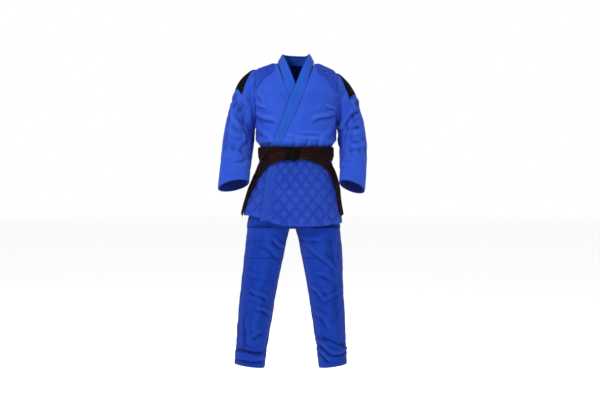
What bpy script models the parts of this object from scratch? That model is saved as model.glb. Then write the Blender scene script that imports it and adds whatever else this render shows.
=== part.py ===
"""A judo uniform as it stands when worn: wrapped jacket, tied belt and trousers.

Every sewn piece is a thin shell of its own.  Metres, +Z up, the front faces -Y and
+X is the wearer's left.  The origin is between the shoulders, where the jacket rests.
"""
from math import acos, asin, copysign, cos, pi, radians, sin, sqrt

import bpy
from mathutils import Vector

# ---------------------------------------------------------------- driving dimensions
SHOULDER_DROP = 0.040      # the shoulder tip hangs this far below the neck
SHOULDER_LEAN = 0.045      # the wearer's left shoulder is lower, by this share of the width
NECK_HALF = 0.088          # half width of the neck hole at the shoulder line
NECK_BACK = 0.072          # the neck hole reaches this far back
NECK_CLEAR = 0.0025        # the back panels stop this far behind the collar
CHEST = -0.130             # height where the chest ends and the shoulder starts to round
ARMHOLE_X = 0.188          # the armhole seams lie in these two upright planes
ARMHOLE_FLOOR = -0.270     # the lowest point of an armhole
BELT_TOP = -0.385
BELT_WIDTH = 0.046
WAIST_SEAM = -0.434        # the quilted skirt is sewn on here, just below the belt
JACKET_HEM = -0.745
HIP_SHIFT = -0.016         # the wearer stands with the hips this far to the right
LAPEL_WIDTH = 0.045
LAPEL_AT_BELT = -0.078     # the over lapel's seam crosses the belt's top edge here
LAPEL_SLOPE_BELOW = 0.14   # and runs on to the hem, outwards by this share of the drop
TROUSER_TOP = -0.372
WAISTBAND_WIDTH = 0.042
CROTCH = -0.757
KNEE = -1.070
TROUSER_HEM = -1.405

CLOTH = 0.003              # thickness of the woven jacket cloth
LAPEL_THICK = 0.0045
TWILL = 0.0025             # thickness of the trouser cloth
BELT_THICK = 0.0035
OVER = 0.008               # the left front lies this far outside the right front
SEAM_GAP = 0.0005          # room between two pieces that are sewn edge to edge

# heights down the jacket, with the half width and half depth of the body at each
JACKET_BODY = (
    (JACKET_HEM, 0.230, 0.152),
    (-0.600, 0.208, 0.143),
    (-0.500, 0.184, 0.130),
    (WAIST_SEAM, 0.164, 0.116),
    (BELT_TOP, 0.164, 0.116),
    (-0.345, 0.184, 0.137),
    (-0.240, 0.189, 0.142),
    (CHEST, 0.198, 0.132),
)
# the same for the trousers from the waist to the crotch
SEAT_BODY = (
    (CROTCH, 0.206, 0.128),
    (-0.700, 0.200, 0.128),
    (-0.600, 0.182, 0.124),
    (-0.500, 0.160, 0.114),
    (TROUSER_TOP, 0.148, 0.103),
)
BOXY = 2.4                 # 2 gives elliptic sections, more gives squarer ones
SHOULDER_BOXY = 3.0

# silhouette of each sleeve, outer and inner edge, as cubic curves of (x, z)
SLEEVES = {
    "left": {
        "sign": 1,
        "outer": ((0.1915, -0.036), (0.280, -0.050), (0.355, -0.250), (0.318, -0.590)),
        "inner": ((0.1915, -0.272), (0.197, -0.285), (0.212, -0.400), (0.198, -0.548)),
    },
    "right": {
        "sign": -1,
        "outer": ((-0.1915, -0.036), (-0.300, -0.050), (-0.330, -0.240), (-0.360, -0.580)),
        "inner": ((-0.1915, -0.272), (-0.197, -0.285), (-0.204, -0.420), (-0.214, -0.548)),
    },
}
CUFF_FORWARD = -0.140      # the forearms come this far to the front
CUFF_TILT = -0.38          # the front edge of a cuff is higher than its back edge
CUFF_FACING = 0.050        # depth of the doubled hem inside a cuff
SLEEVE_SIDES = 20          # corners of a sleeve's section

# silhouette of each trouser leg, outer and inner edge, from the crotch to the hem
LEGS = {
    "left": {"sign": 1, "outer": (0.206, 0.224, 0.240), "inner": (-0.005, 0.062, 0.106)},
    "right": {"sign": -1, "outer": (-0.228, -0.262, -0.290), "inner": (-0.027, -0.098, -0.146)},
}
LEG_DEPTHS = (0.116, 0.100, 0.080)   # half depth at the crotch, the knee and the hem
HEM_LEAN = 0.14            # the hems are square to the leaning legs
KNEE_NEST = 0.0040         # the lower leg starts this far inside the upper one
LEG_SIDES = 20             # corners of a leg's section

SKIRT_HINGE_Y = 0.121      # the back of the skirt folds up about this line
SIDE_VENT_TURN = 0.6       # half of the slit between the skirt's front and back, in degrees
SIDE_GAP_TURN = 0.15       # half of the gap at a side seam, in degrees of turn
CENTRE_TURN = 89.99        # a piece that ends at the middle of the back or front
SHOULDER_TOP = 89.8        # rise at which the fronts and backs meet on the shoulder line
YOKE_INNER = 0.100         # the yoke runs from here to the armhole
YOKE_CLEAR = 0.0015        # room under the yoke and inside the cuff's facing

BELT_OUT = OVER + LAPEL_THICK + 0.001   # the belt's distance from the body in front
BELT_BACK = CLOTH + 0.0018              # and behind
BELT_SIDES = 56            # corners of a turn of the belt
KNOT_DEPTH = 0.022
KNOT_HEIGHT = 0.054
KNOT_WIDE_BELOW = 0.078    # the knot spreads towards its lower edge
KNOT_WIDE_ABOVE = 0.050
# run of each belt end from the knot over the hip, as (turn, height, standing off)
TAIL_RUNS = {
    "left": ((-79, -0.423, 0.025), (-66, -0.434, 0.025), (-49, -0.457, 0.024),
             (-34, -0.500, 0.016), (-25, -0.554, 0.012), (-19, -0.610, 0.010),
             (-13, -0.700, 0.010)),
    "right": ((-101, -0.423, 0.025), (-114, -0.434, 0.025), (-131, -0.457, 0.024),
              (-146, -0.500, 0.013), (-155, -0.554, 0.010), (-162, -0.610, 0.008),
              (-169, -0.702, 0.008)),
}
TAIL_NARROW = 0.96         # a belt end is a little narrower than the pressed turns
TAIL_BREAK = 0.80          # the free end starts at this share of a tail's run
TAIL_GAP = 0.012

BAND_GAP_TURN = 2.6        # half of the waistband's opening in front, in degrees
GUSSET_REACH = 0.100       # the crotch gusset reaches this far to the front and back
GUSSET_RISE = 0.052
PATCH_CLEAR = 0.0009       # room between a knee patch and the leg
PATCH_THICK = 0.0018
STRIP_THICK = 0.0016
STRIP_END = 0.335          # a shoulder strip runs over this share of the sleeve
STRIP_TOP_TURN = 18        # middle of the strip on the sleeve's outer edge, in degrees,
STRIP_LOW_TURN = -26       # which comes to the front as it goes down

# ---------------------------------------------------------------- small helpers
def clamp01(t):
    return max(0.0, min(1.0, t))


def smooth(t):
    t = clamp01(t)
    return t * t * (3 - 2 * t)


def mix(a, b, t):
    return a + (b - a) * t


def signed_power(value, power):
    return copysign(abs(value) ** power, value)


def settled(point):
    """The whole upper body leans a little, fading out below the chest."""
    lowered = SHOULDER_LEAN * point.x * smooth((point.z + 0.34) / 0.26)
    return Vector((point.x, point.y, point.z - lowered))


def between(rows, z, column):
    """Value of a column at height z, on a smooth curve that never overshoots a row."""
    z = max(rows[0][0], min(rows[-1][0], z))
    i = next(k for k in range(len(rows) - 1) if z <= rows[k + 1][0])
    width = rows[i + 1][0] - rows[i][0]
    t = (z - rows[i][0]) / width
    start, end = slope_at(rows, i, column) * width, slope_at(rows, i + 1, column) * width
    low, high = rows[i][column], rows[i + 1][column]
    return (low * (1 + 2 * t) * (1 - t) ** 2 + start * t * (1 - t) ** 2
            + high * t * t * (3 - 2 * t) + end * t * t * (t - 1))


def slope_at(rows, i, column):
    """Slope of the curve through row i: level at the ends and where the values turn."""
    if i == 0 or i == len(rows) - 1:
        return 0.0
    before = (rows[i][column] - rows[i - 1][column]) / (rows[i][0] - rows[i - 1][0])
    after = (rows[i + 1][column] - rows[i][column]) / (rows[i + 1][0] - rows[i][0])
    return 2 * before * after / (before + after) if before * after > 0 else 0.0


def cubic(points, t):
    """A point (x, z) on a cubic Bezier curve."""
    a, b, c, d = (Vector(p) for p in points)
    s = 1 - t
    return a * s**3 + b * 3 * s * s * t + c * 3 * s * t * t + d * t**3


def quadratic_through(values, t):
    """The parabola through three values at t = 0, 0.5 and 1."""
    a, b, c = values
    return a * (2 * t - 1) * (t - 1) + b * 4 * t * (1 - t) + c * t * (2 * t - 1)


# ---------------------------------------------------------------- the shape of the body
def hip_shift(z):
    return HIP_SHIFT * smooth((-0.38 - z) / 0.32)


def shoulder_line(x):
    """Height of the top of the shoulder at x."""
    slope = SHOULDER_DROP / (ARMHOLE_X - NECK_HALF)
    return 0.006 - slope * max(0.0, abs(x) - NECK_HALF)


def squareness(z):
    return mix(BOXY, SHOULDER_BOXY, smooth((z + 0.30) / 0.17))


def body_point(turn, z, out=0.0):
    """Point on the jacket's body below the shoulders. turn is 0 at the wearer's left
    side, -90 at the front and +90 at the back, in degrees."""
    power = 2 / squareness(z)
    wide = between(JACKET_BODY, z, 1) + out
    deep = between(JACKET_BODY, z, 2) + out
    angle = radians(turn)
    x = hip_shift(z) + wide * signed_power(cos(angle), power)
    return Vector((x, deep * signed_power(sin(angle), power), z))


def shoulder_point(turn, rise, out=0.0):
    """Point over the shoulder: rise is 0 at the chest and 90 on the shoulder line."""
    base = body_point(turn, CHEST, out)
    angle = radians(rise)
    height = shoulder_line(base.x) + out - CHEST
    return Vector((base.x, base.y * cos(angle), CHEST + height * sin(angle)))


def turn_for_x(x, z, out=0.0):
    """The turn on the front at which the body's section at height z passes x."""
    z = min(z, CHEST)
    wide = between(JACKET_BODY, z, 1) + out
    share = max(-1.0, min(1.0, (x - hip_shift(z)) / wide))
    return -degrees_of(acos(signed_power(share, squareness(z) / 2)))


def degrees_of(angle):
    return angle * 180 / pi


def armhole_turn(z, out=0.0):
    """How far the armhole's edge is turned from the side at height z (0 below it)."""
    if z <= ARMHOLE_FLOOR:
        return 0.0
    chest_turn = abs(turn_for_x(ARMHOLE_X, CHEST, out))
    if z >= CHEST:
        return chest_turn
    depth = abs(body_point(-chest_turn, CHEST, out).y)
    part = (z - CHEST) / (ARMHOLE_FLOOR - CHEST)
    depth *= sqrt(max(0.0, 1 - part * part))
    share = clamp01(depth / (between(JACKET_BODY, z, 2) + out))
    return degrees_of(asin(share ** (squareness(z) / 2)))


def over_out(turn, out):
    """The over front sinks back onto the body towards the side seam."""
    return out * smooth((abs(turn) - 10) / 35) if out else 0.0


def lapel_x(z, edge):
    """Where the lapel's edge runs across the left front. edge 0 is the seam to the
    front panel and edge 1 the free edge."""
    if z < BELT_TOP:
        seam = LAPEL_AT_BELT - LAPEL_SLOPE_BELOW * (BELT_TOP - z)
    else:
        t = clamp01((z - BELT_TOP) / (0.004 - BELT_TOP))
        seam = mix(LAPEL_AT_BELT, NECK_HALF, t * (1 + 0.16 * (1 - t)))
    return seam - edge * LAPEL_WIDTH * mix(1.10, 0.80, smooth((-0.15 - z) / 0.22))


# ---------------------------------------------------------------- objects and meshes
def empty_the_scene():
    for obj in list(bpy.data.objects):
        bpy.data.objects.remove(obj, do_unlink=True)


def new_collection(name):
    collection = bpy.data.collections.new(name)
    bpy.context.scene.collection.children.link(collection)
    return collection


def make_material(name, colour, roughness):
    material = bpy.data.materials.new(name)
    material.use_nodes = True
    shader = material.node_tree.nodes["Principled BSDF"]
    shader.inputs["Base Color"].default_value = (*colour, 1.0)
    shader.inputs["Roughness"].default_value = roughness
    shader.inputs["Metallic"].default_value = 0.0
    material.diffuse_color = (*colour, 1.0)
    return material


def add_object(name, mesh, material, pivot=None):
    """Links a mesh object; a pivot puts its origin on its joint's axis."""
    obj = bpy.data.objects.new(name, mesh)
    UNIFORM.objects.link(obj)
    mesh.materials.append(material)
    if pivot is not None:
        for vertex in mesh.vertices:
            vertex.co -= Vector(pivot)
        obj.location = pivot
    mesh.shade_smooth()
    mesh.set_sharp_from_angle(angle=radians(50))
    return obj


def sheet_mesh(name, rows, closed=False):
    """An open surface through rows of points; closed joins each row's ends."""
    count = len(rows[0])
    points = [tuple(p) for row in rows for p in row]
    last = count if closed else count - 1
    faces = []
    for r in range(len(rows) - 1):
        for c in range(last):
            right = (c + 1) % count
            faces.append((r * count + c, r * count + right, (r + 1) * count + right, (r + 1) * count + c))
    mesh = bpy.data.meshes.new(name)
    mesh.from_pydata(points, [], faces)
    mesh.update()
    return mesh


def shell(name, rows, thick, material, closed=False, flip=False, pivot=None):
    """A sewn piece: an open surface thickened on its outer side."""
    mesh = sheet_mesh(name, [[settled(p) for p in row] for row in rows], closed)
    if flip:
        mesh.flip_normals()
    obj = add_object(name, mesh, material, pivot)
    solidify = obj.modifiers.new("cloth thickness", "SOLIDIFY")
    solidify.thickness = thick
    solidify.offset = 1.0
    return obj


def spread(low, high, steps):
    return [mix(low, high, i / steps) for i in range(steps + 1)]


# ---------------------------------------------------------------- jacket: fronts and back
BLOUSED = -0.340           # the cloth is fullest over the belt here
BODY_HEIGHTS = [WAIST_SEAM] + spread(BELT_TOP, BLOUSED, 3)[:-1] + spread(BLOUSED, CHEST, 7)
SHOULDER_RISES = (13, 26, 39, 52, 65, 78, SHOULDER_TOP)
SKIRT_HEIGHTS = spread(JACKET_HEM, WAIST_SEAM - 0.002, 9)


def seam_over_shoulder(rise, out):
    """Where the lapel's seam is at this rise over the shoulder, as (x, z)."""
    x = NECK_HALF
    for _ in range(12):
        x = lapel_x(CHEST + (shoulder_line(x) - CHEST) * sin(radians(rise)), 0)
    return x, CHEST + (shoulder_line(x) + out - CHEST) * sin(radians(rise))


def front_row(side, z, out, inner_x, outer_turn, across):
    """Row of a front from the lapel's seam to the side, at height z."""
    inner = turn_for_x(inner_x, z, out)
    row = []
    for turn in spread(inner, -outer_turn - SIDE_GAP_TURN, across):
        row.append(mirrored(side, body_point(turn, z, over_out(turn, out)), z))
    return row


def mirrored(side, point, z):
    """The right front is the mirror image of the left one about the body's middle."""
    if side < 0:
        point.x = 2 * hip_shift(z) - point.x
    return point


def make_fronts(material):
    for side, name, out in ((1, "front_panel_left", OVER), (-1, "front_panel_right", 0.0)):
        rows = []
        for z in BODY_HEIGHTS:
            rows.append(front_row(side, z, out, lapel_x(z, 0) + SEAM_GAP, armhole_turn(z), 12))
        for rise in SHOULDER_RISES:
            inner = turn_for_x(seam_over_shoulder(rise, out)[0] + SEAM_GAP, CHEST, out)
            row = []
            for turn in spread(inner, -armhole_turn(CHEST) - SIDE_GAP_TURN, 12):
                row.append(mirrored(side, shoulder_point(turn, rise, over_out(turn, out)), CHEST))
            rows.append(row)
        shell(name, rows, CLOTH, material, flip=side < 0)


def upper_back(turn, rise):
    """Point of a back panel over the shoulder, or up to the collar's foot at the neck."""
    base = body_point(turn, CHEST)
    if abs(base.x) >= NECK_HALF or base.y <= 0:
        return shoulder_point(turn, rise)
    share = sqrt(1 - (base.x / NECK_HALF) ** 2)
    hole = (NECK_BACK + NECK_CLEAR) * share
    top = mix(shoulder_line(base.x), 0.0, share)
    angle = radians(rise)
    y = hole + (base.y - hole) * cos(angle)
    return Vector((base.x, y, CHEST + (top - CHEST) * sin(angle)))


def make_backs(material):
    for side, name in ((1, "back_panel_left"), (-1, "back_panel_right")):
        rows = []
        for z in BODY_HEIGHTS:
            edge = armhole_turn(z) + SIDE_GAP_TURN
            rows.append([body_point(t, z) for t in back_turns(side, edge)])
        turns = back_turns(side, armhole_turn(CHEST) + SIDE_GAP_TURN)
        for rise in SHOULDER_RISES:
            rows.append([upper_back(t, rise) for t in turns])
        shell(name, rows, CLOTH, material, flip=side > 0)


def back_turns(side, edge):
    turns = spread(CENTRE_TURN, edge, 9)
    return turns if side > 0 else [180 - t for t in turns]


def make_skirt(material):
    """The quilted skirt: two fronts that overlap and two backs, open at the sides."""
    for side, name, out in ((1, "skirt_front_left", OVER), (-1, "skirt_front_right", 0.0)):
        rows = []
        for z in SKIRT_HEIGHTS:
            rows.append(front_row(side, z, out, lapel_x(z, 0) + SEAM_GAP, SIDE_VENT_TURN, 12))
        shell(name, rows, CLOTH, material, flip=side < 0)
    lifted = spread(JACKET_HEM, WAIST_SEAM - 0.003, 8)
    for side, name in ((1, "skirt_back_left"), (-1, "skirt_back_right")):
        rows = [[body_point(t, z) for t in back_turns(side, SIDE_VENT_TURN)] for z in lifted]
        shell(name, rows, CLOTH, material, flip=side > 0, pivot=(0, SKIRT_HINGE_Y, WAIST_SEAM))


def yoke_edge(x, back):
    """How low the yoke reaches on the front or back, as a height, at this x."""
    t = clamp01((abs(x) - YOKE_INNER) / 0.080)
    return mix(-0.040, -0.118 if not back else -0.135, t ** 1.6)


def make_yokes(material):
    """A second layer of cloth over each shoulder, deeper towards the sleeve."""
    for side, name, out in ((1, "shoulder_yoke_left", OVER), (-1, "shoulder_yoke_right", 0.0)):
        lift = out + CLOTH + YOKE_CLEAR
        rows = []
        for x in spread(YOKE_INNER, ARMHOLE_X - 0.003, 7):
            turn = turn_for_x(x, CHEST, lift)
            top = shoulder_line(x) + lift - CHEST
            low_front = degrees_of(acos(sqrt(1 - ((yoke_edge(x, False) - CHEST) / top) ** 2)))
            reach = (yoke_edge(x, True) - CHEST) / top
            low_back = degrees_of(acos(sqrt(1 - reach * reach))) * (1 if reach > 0 else -1)
            row = []
            for rise in spread(low_front, 180 - low_back, 13):
                point = shoulder_point(turn, rise, lift)
                point.x *= side
                row.append(point)
            rows.append(row)
        shell(name, rows, CLOTH * 0.7, material, flip=side > 0)


# ---------------------------------------------------------------- jacket: lapels and collar
def neck_curve(s):
    """The neck hole from the left shoulder line (s 0) round the back to the right (s 1)."""
    angle = s * pi
    return Vector((NECK_HALF * cos(angle), NECK_BACK * sin(angle), 0.008 - 0.004 * sin(angle)))


def stand_up(s):
    """From the neck hole to the collar's upper edge."""
    lean = Vector((-0.020 * cos(s * pi), -0.014 * sin(s * pi), 0.037))
    return lean.normalized() * LAPEL_WIDTH


def collar_foot(s):
    """The collar stands just inside the neck hole, clear of the shoulder's cloth."""
    return Vector((-0.0052 * cos(s * pi), -0.0052 * sin(s * pi), 0.0030))


def lapel_row(seam_x, z, out, across=2):
    """Points over the lapel's width on the left front at height z."""
    raised = smooth((z + 0.150) / 0.150)
    seam = chest_point(seam_x, z, out)
    foot = collar_foot(0.0) * smooth((z + 0.120) / 0.080)
    row = []
    for edge in spread(0.0, 1.0, across):
        flat = chest_point(seam_x - lapel_x(z, 0) + lapel_x(z, edge), z, out)
        row.append(flat.lerp(seam + stand_up(0.0) * edge, raised) + foot)
    return row


def chest_point(x, z, out):
    """Point on the front at x and height z, over the shoulder too."""
    if z <= CHEST:
        return body_point(turn_for_x(x, z, out), z, out)
    base = body_point(turn_for_x(x, CHEST, out), CHEST, out)
    share = clamp01((z - CHEST) / (shoulder_line(x) + out - CHEST))
    return Vector((x, base.y * sqrt(1 - share * share), z))


def make_lapels(material):
    spots = [(lapel_x(z, 0), z) for z in SKIRT_HEIGHTS[:-1] + BODY_HEIGHTS]
    for side, name, out in ((1, "lapel_left", OVER), (-1, "lapel_right", 0.0)):
        over = [seam_over_shoulder(rise, out) for rise in SHOULDER_RISES]
        rows = [[mirrored(side, p, p.z) for p in lapel_row(x, z, out)] for x, z in spots + over]
        shell(name, rows, LAPEL_THICK, material, flip=side > 0)
    rows = []
    for s in spread(0.03, 0.97, 14):
        low = neck_curve(s) + collar_foot(s)
        rows.append([low + stand_up(s) * e for e in spread(0.0, 1.0, 2)])
    shell("collar_back", rows, LAPEL_THICK, material, flip=True)


# ---------------------------------------------------------------- sleeves
def sleeve_point(side, t, angle, inset=0.0):
    """Point on a sleeve: t is 0 at the armhole and 1 at the cuff, angle is 0 on the
    outer edge and 180 on the inner edge."""
    shape = SLEEVES[side]
    outer, inner = cubic(shape["outer"], t), cubic(shape["inner"], t)
    # the armhole is widest above its middle, the cuff at its middle
    share = mix(0.36, 0.5, smooth(t / 0.35))
    centre = outer.lerp(inner, share)
    reach = (outer - centre) if cos(angle) >= 0 else (centre - inner)
    along = reach * (1 - inset / max(reach.length, 1e-6)) * cos(angle)
    armhole = abs(body_point(-armhole_turn(CHEST), CHEST).y)
    depth = mix(mix(armhole, 0.088, smooth(t / 0.45)), 0.062, smooth((t - 0.45) / 0.55)) - inset
    y = depth * sin(angle)
    forward = mix(0.0, 0.012, smooth(t / 0.4)) + mix(0.0, CUFF_FORWARD, smooth((t - 0.35) / 0.72))
    tilt = CUFF_TILT * smooth((t - 0.45) / 0.55)
    return Vector((centre.x + along.x, forward + y, centre.y + along.y + tilt * y))


def sleeve_rows(side, start, end, steps, around, inset=0.0):
    sign = SLEEVES[side]["sign"]
    rows = []
    for t in spread(start, end, steps):
        rows.append([sleeve_point(side, t, sign * 2 * pi * i / around, inset) for i in range(around)])
    return rows


def shoulder_pivot(sign):
    return settled(Vector((sign * 0.190, 0.0, -0.032)))


def make_sleeves(cloth, strip):
    for side, shape in SLEEVES.items():
        pivot = shoulder_pivot(shape["sign"])
        rows = sleeve_rows(side, 0.0, 1.0, 12, SLEEVE_SIDES, CLOTH)
        shell(f"sleeve_{side}", rows, CLOTH, cloth, closed=True, pivot=pivot)
        length = (Vector(shape["outer"][-1]) - Vector(shape["outer"][0])).length
        start = 1.0 - 1.4 * CUFF_FACING / length
        rows = sleeve_rows(side, start, 0.998, 2, SLEEVE_SIDES, 2 * CLOTH + YOKE_CLEAR)
        shell(f"cuff_facing_{side}", rows, CLOTH * 0.8, cloth, closed=True, pivot=pivot)
        rows = []
        for t in spread(0.012, STRIP_END, 8):
            middle = radians(mix(STRIP_TOP_TURN, STRIP_LOW_TURN, t / STRIP_END))
            half = shape["sign"] * radians(mix(24, 32, t / STRIP_END))
            rows.append([sleeve_point(side, t, middle - half * u, -SEAM_GAP)
                         for u in spread(-1.0, 1.0, 6)])
        shell(f"shoulder_strip_{side}", rows, STRIP_THICK, strip, flip=True, pivot=pivot)


# ---------------------------------------------------------------- belt
def belt_turn(name, out, material):
    heights = spread(BELT_TOP - BELT_WIDTH, BELT_TOP, 2)
    rows = []
    for z in heights:
        ring = []
        for i in range(BELT_SIDES):
            turn = 360 * i / BELT_SIDES
            point = body_point(turn, BELT_TOP, out + belt_lift(turn))
            ring.append(Vector((point.x, point.y, z)))
        rows.append(ring)
    shell(name, rows, BELT_THICK, material, closed=True)


def belt_lift(turn):
    """The belt passes over one layer of cloth behind and over both lapels in front."""
    from_front = abs((turn + 90 + 180) % 360 - 180)
    return BELT_OUT * (1 - smooth((from_front - 50) / 50)) + BELT_BACK * smooth((from_front - 50) / 50)


def belt_front_y(out):
    return body_point(-90, BELT_TOP, out + BELT_OUT).y


def make_knot(material):
    """The flat reef knot: a rounded wedge, wider and thicker at its lower edge."""
    back = belt_front_y(2 * BELT_THICK + 2 * SEAM_GAP) - SEAM_GAP
    middle = Vector((0.0, back - KNOT_DEPTH / 2, BELT_TOP - 0.031))
    bpy.ops.mesh.primitive_cube_add(size=1.0)
    cube = bpy.context.active_object
    mesh = cube.data
    bpy.data.objects.remove(cube, do_unlink=True)
    for vertex in mesh.vertices:
        wide = KNOT_WIDE_BELOW if vertex.co.z < 0 else KNOT_WIDE_ABOVE
        thick = KNOT_DEPTH if vertex.co.z < 0 else KNOT_DEPTH * 0.7
        y = KNOT_DEPTH / 2 if vertex.co.y > 0 else KNOT_DEPTH / 2 - thick
        vertex.co = middle + Vector((vertex.co.x * wide, y, vertex.co.z * KNOT_HEIGHT))
    obj = add_object("belt_knot", mesh, material)
    bevel = obj.modifiers.new("soft edges", "BEVEL")
    bevel.width = 0.007
    bevel.segments = 3
    return obj


def tail_point(side, t):
    """Point on the middle of a belt end, by a smooth curve through its run."""
    run = TAIL_RUNS[side]
    spot = clamp01(t) * (len(run) - 1)
    i = min(int(spot), len(run) - 2)
    u = spot - i
    values = []
    for k in range(3):
        p0, p1, p2, p3 = (run[max(0, min(len(run) - 1, j))][k] for j in (i - 1, i, i + 1, i + 2))
        values.append(0.5 * (2 * p1 + (p2 - p0) * u + (2 * p0 - 5 * p1 + 4 * p2 - p3) * u * u
                             + (3 * p1 - p0 - 3 * p2 + p3) * u**3))
    return body_point(values[0], values[1], values[2]), values


def tail_frame(side, t):
    """Middle point and direction across the belt of a belt end."""
    point, (turn, z, out) = tail_point(side, t)
    ahead = tail_point(side, min(1.0, t + 0.01))[0]
    behind = tail_point(side, max(0.0, t - 0.01))[0]
    along = (ahead - behind).normalized()
    wider = body_point(turn + 1, z, out) - body_point(turn - 1, z, out)
    higher = body_point(turn, z + 0.01, out) - body_point(turn, z - 0.01, out)
    outward = wider.cross(higher).normalized()
    return point, outward.cross(along).normalized()


def make_tails(material):
    for side in TAIL_RUNS:
        for suffix, start, end, steps in (("", 0.0, TAIL_BREAK - TAIL_GAP, 14),
                                          ("_end", TAIL_BREAK + TAIL_GAP, 1.0, 5)):
            rows = []
            for t in spread(start, end, steps):
                point, across = tail_frame(side, t)
                half = BELT_WIDTH / 2 * TAIL_NARROW
                rows.append([point - across * half, point, point + across * half])
            pivot = None if not suffix else tail_point(side, TAIL_BREAK)[0]
            shell(f"belt_tail_{side}{suffix}", rows, BELT_THICK, material, flip=True, pivot=pivot)


# ---------------------------------------------------------------- trousers
def seat_point(turn, z, out=0.0):
    """Point on the trousers between the waist and the crotch."""
    power = 2 / BOXY
    angle = radians(turn)
    x = hip_shift(z) + (between(SEAT_BODY, z, 1) + out) * signed_power(cos(angle), power)
    return Vector((x, (between(SEAT_BODY, z, 2) + out) * signed_power(sin(angle), power), z))


def leg_centre(side, down):
    """Middle and half width of a leg; down is 0 at the crotch and 1 at the hem."""
    shape = LEGS[side]
    outer = quadratic_through(shape["outer"], down)
    inner = quadratic_through(shape["inner"], down)
    return (outer + inner) / 2, abs(outer - inner) / 2


def leg_share(z):
    return (CROTCH - z) / (CROTCH - TROUSER_HEM)


def leg_point(side, z, angle, inset=0.0):
    down = leg_share(z)
    middle, half = leg_centre(side, down)
    depth = quadratic_through(LEG_DEPTHS, down) - inset
    half -= inset
    power = 2 / mix(2.5, 2.1, clamp01(down))
    across = half * signed_power(cos(angle), power)
    lean = LEGS[side]["sign"] * HEM_LEAN * smooth(down)
    return Vector((middle + across, depth * signed_power(sin(angle), power), z + lean * across))


def knee_cut(y, slope_front, slope_back):
    """Height over the knee of an edge that rises towards the back."""
    return KNEE + (slope_back * y if y > 0 else slope_front * y)


def leg_rows(side, top, bottom, steps, around, inset):
    """Rings from top to bottom; both are heights, or functions of y."""
    rows = []
    for step in range(steps + 1):
        ring = []
        for i in range(around):
            angle = 2 * pi * i / around
            y = leg_point(side, KNEE, angle, 0.0).y
            high = top(y) if callable(top) else top
            low = bottom(y) if callable(bottom) else bottom
            z = mix(high, low, step / steps)
            ring.append(leg_point(side, z, angle, inset(z)))
        rows.append(ring)
    return rows


def thigh_end(y):
    return knee_cut(y, 0.20, 0.66)


def patch_end(y):
    return thigh_end(y) + 0.001


def shin_start(y):
    return knee_cut(y, 0.0, 0.78)


def shin_inset(z):
    """The lower leg starts nested in the upper one and widens to the full size."""
    return TWILL + KNEE_NEST * smooth((z - (KNEE - 0.16)) / 0.10)


def knee_pivot(side):
    return (leg_centre(side, leg_share(KNEE))[0], 0.0, KNEE)


def patch_rows(side, top, bottom, steps, lift):
    """The knee patch covers the front of the leg."""
    rows = []
    for step in range(steps + 1):
        row = []
        for i in range(12, 19):
            angle = 2 * pi * i / LEG_SIDES
            y = leg_point(side, KNEE, angle).y
            high = top(y) if callable(top) else top
            low = bottom(y) if callable(bottom) else bottom
            z = mix(high, low, step / steps)
            row.append(leg_point(side, z, angle, lift(z)))
        rows.append(row)
    return rows


def make_trousers(twill):
    rows = []
    for z in spread(TROUSER_TOP - WAISTBAND_WIDTH, TROUSER_TOP, 2):
        turns = spread(-90 + BAND_GAP_TURN, 270 - BAND_GAP_TURN, 32)
        rows.append([seat_point(t, z, -TWILL) for t in turns])
    shell("trouser_waistband", rows, TWILL, twill)
    for sign, side in ((1, "left"), (-1, "right")):
        rows = []
        for z in spread(CROTCH + SEAM_GAP, TROUSER_TOP - WAISTBAND_WIDTH - SEAM_GAP, 9):
            turns = spread(-CENTRE_TURN, CENTRE_TURN, 16)
            turns = turns if sign > 0 else [180 - t for t in turns]
            rows.append([seat_point(t, z, -TWILL) for t in turns])
        shell(f"trouser_seat_{side}", rows, TWILL, twill, flip=sign < 0)
    rows = []
    for angle in spread(radians(-150), radians(-30), 8):
        y = GUSSET_REACH * cos(angle)
        z = CROTCH + 0.060 + GUSSET_RISE * sin(angle)
        half = 0.008 + 0.030 * clamp01(-sin(angle) * 2 - 1)
        rows.append([Vector((HIP_SHIFT + half * u, y, z)) for u in (-1.0, 0.0, 1.0)])
    shell("crotch_gusset", rows, TWILL, twill)


def make_legs(twill):
    for side in LEGS:
        pivot = knee_pivot(side)
        rows = leg_rows(side, CROTCH, thigh_end, 6, LEG_SIDES, lambda z: TWILL)
        shell(f"thigh_{side}", rows, TWILL, twill, closed=True, flip=True)
        rows = leg_rows(side, shin_start, TROUSER_HEM, 8, LEG_SIDES, shin_inset)
        shell(f"shin_{side}", rows, TWILL, twill, closed=True, flip=True, pivot=pivot)
        rows = patch_rows(side, CROTCH - 0.035, patch_end, 5, lambda z: -PATCH_CLEAR)
        shell(f"knee_patch_upper_{side}", rows, PATCH_THICK, twill, flip=True)
        rows = patch_rows(side, KNEE - 0.060, TROUSER_HEM + 0.075, 5,
                          lambda z: shin_inset(z) - TWILL - PATCH_CLEAR)
        shell(f"knee_patch_lower_{side}", rows, PATCH_THICK, twill, flip=True, pivot=pivot)
        rows = leg_rows(side, TROUSER_HEM + 0.030, TROUSER_HEM + 0.001, 1, LEG_SIDES,
                        lambda z: 2 * TWILL + SEAM_GAP)
        shell(f"trouser_hem_{side}", rows, TWILL * 0.8, twill, closed=True, flip=True, pivot=pivot)


# ---------------------------------------------------------------- build
empty_the_scene()
UNIFORM = new_collection("martial arts uniform")

WEAVE = make_material("jacket_weave", (0.034, 0.100, 0.640), 0.85)
QUILT = make_material("skirt_quilting", (0.026, 0.070, 0.480), 0.88)
BAND = make_material("lapel_band", (0.027, 0.110, 0.610), 0.80)
TROUSER = make_material("trouser_twill", (0.010, 0.040, 0.340), 0.82)
STRIP = make_material("black_strip", (0.005, 0.005, 0.007), 0.70)
BELT = make_material("belt_cotton", (0.012, 0.007, 0.006), 0.75)

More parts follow.
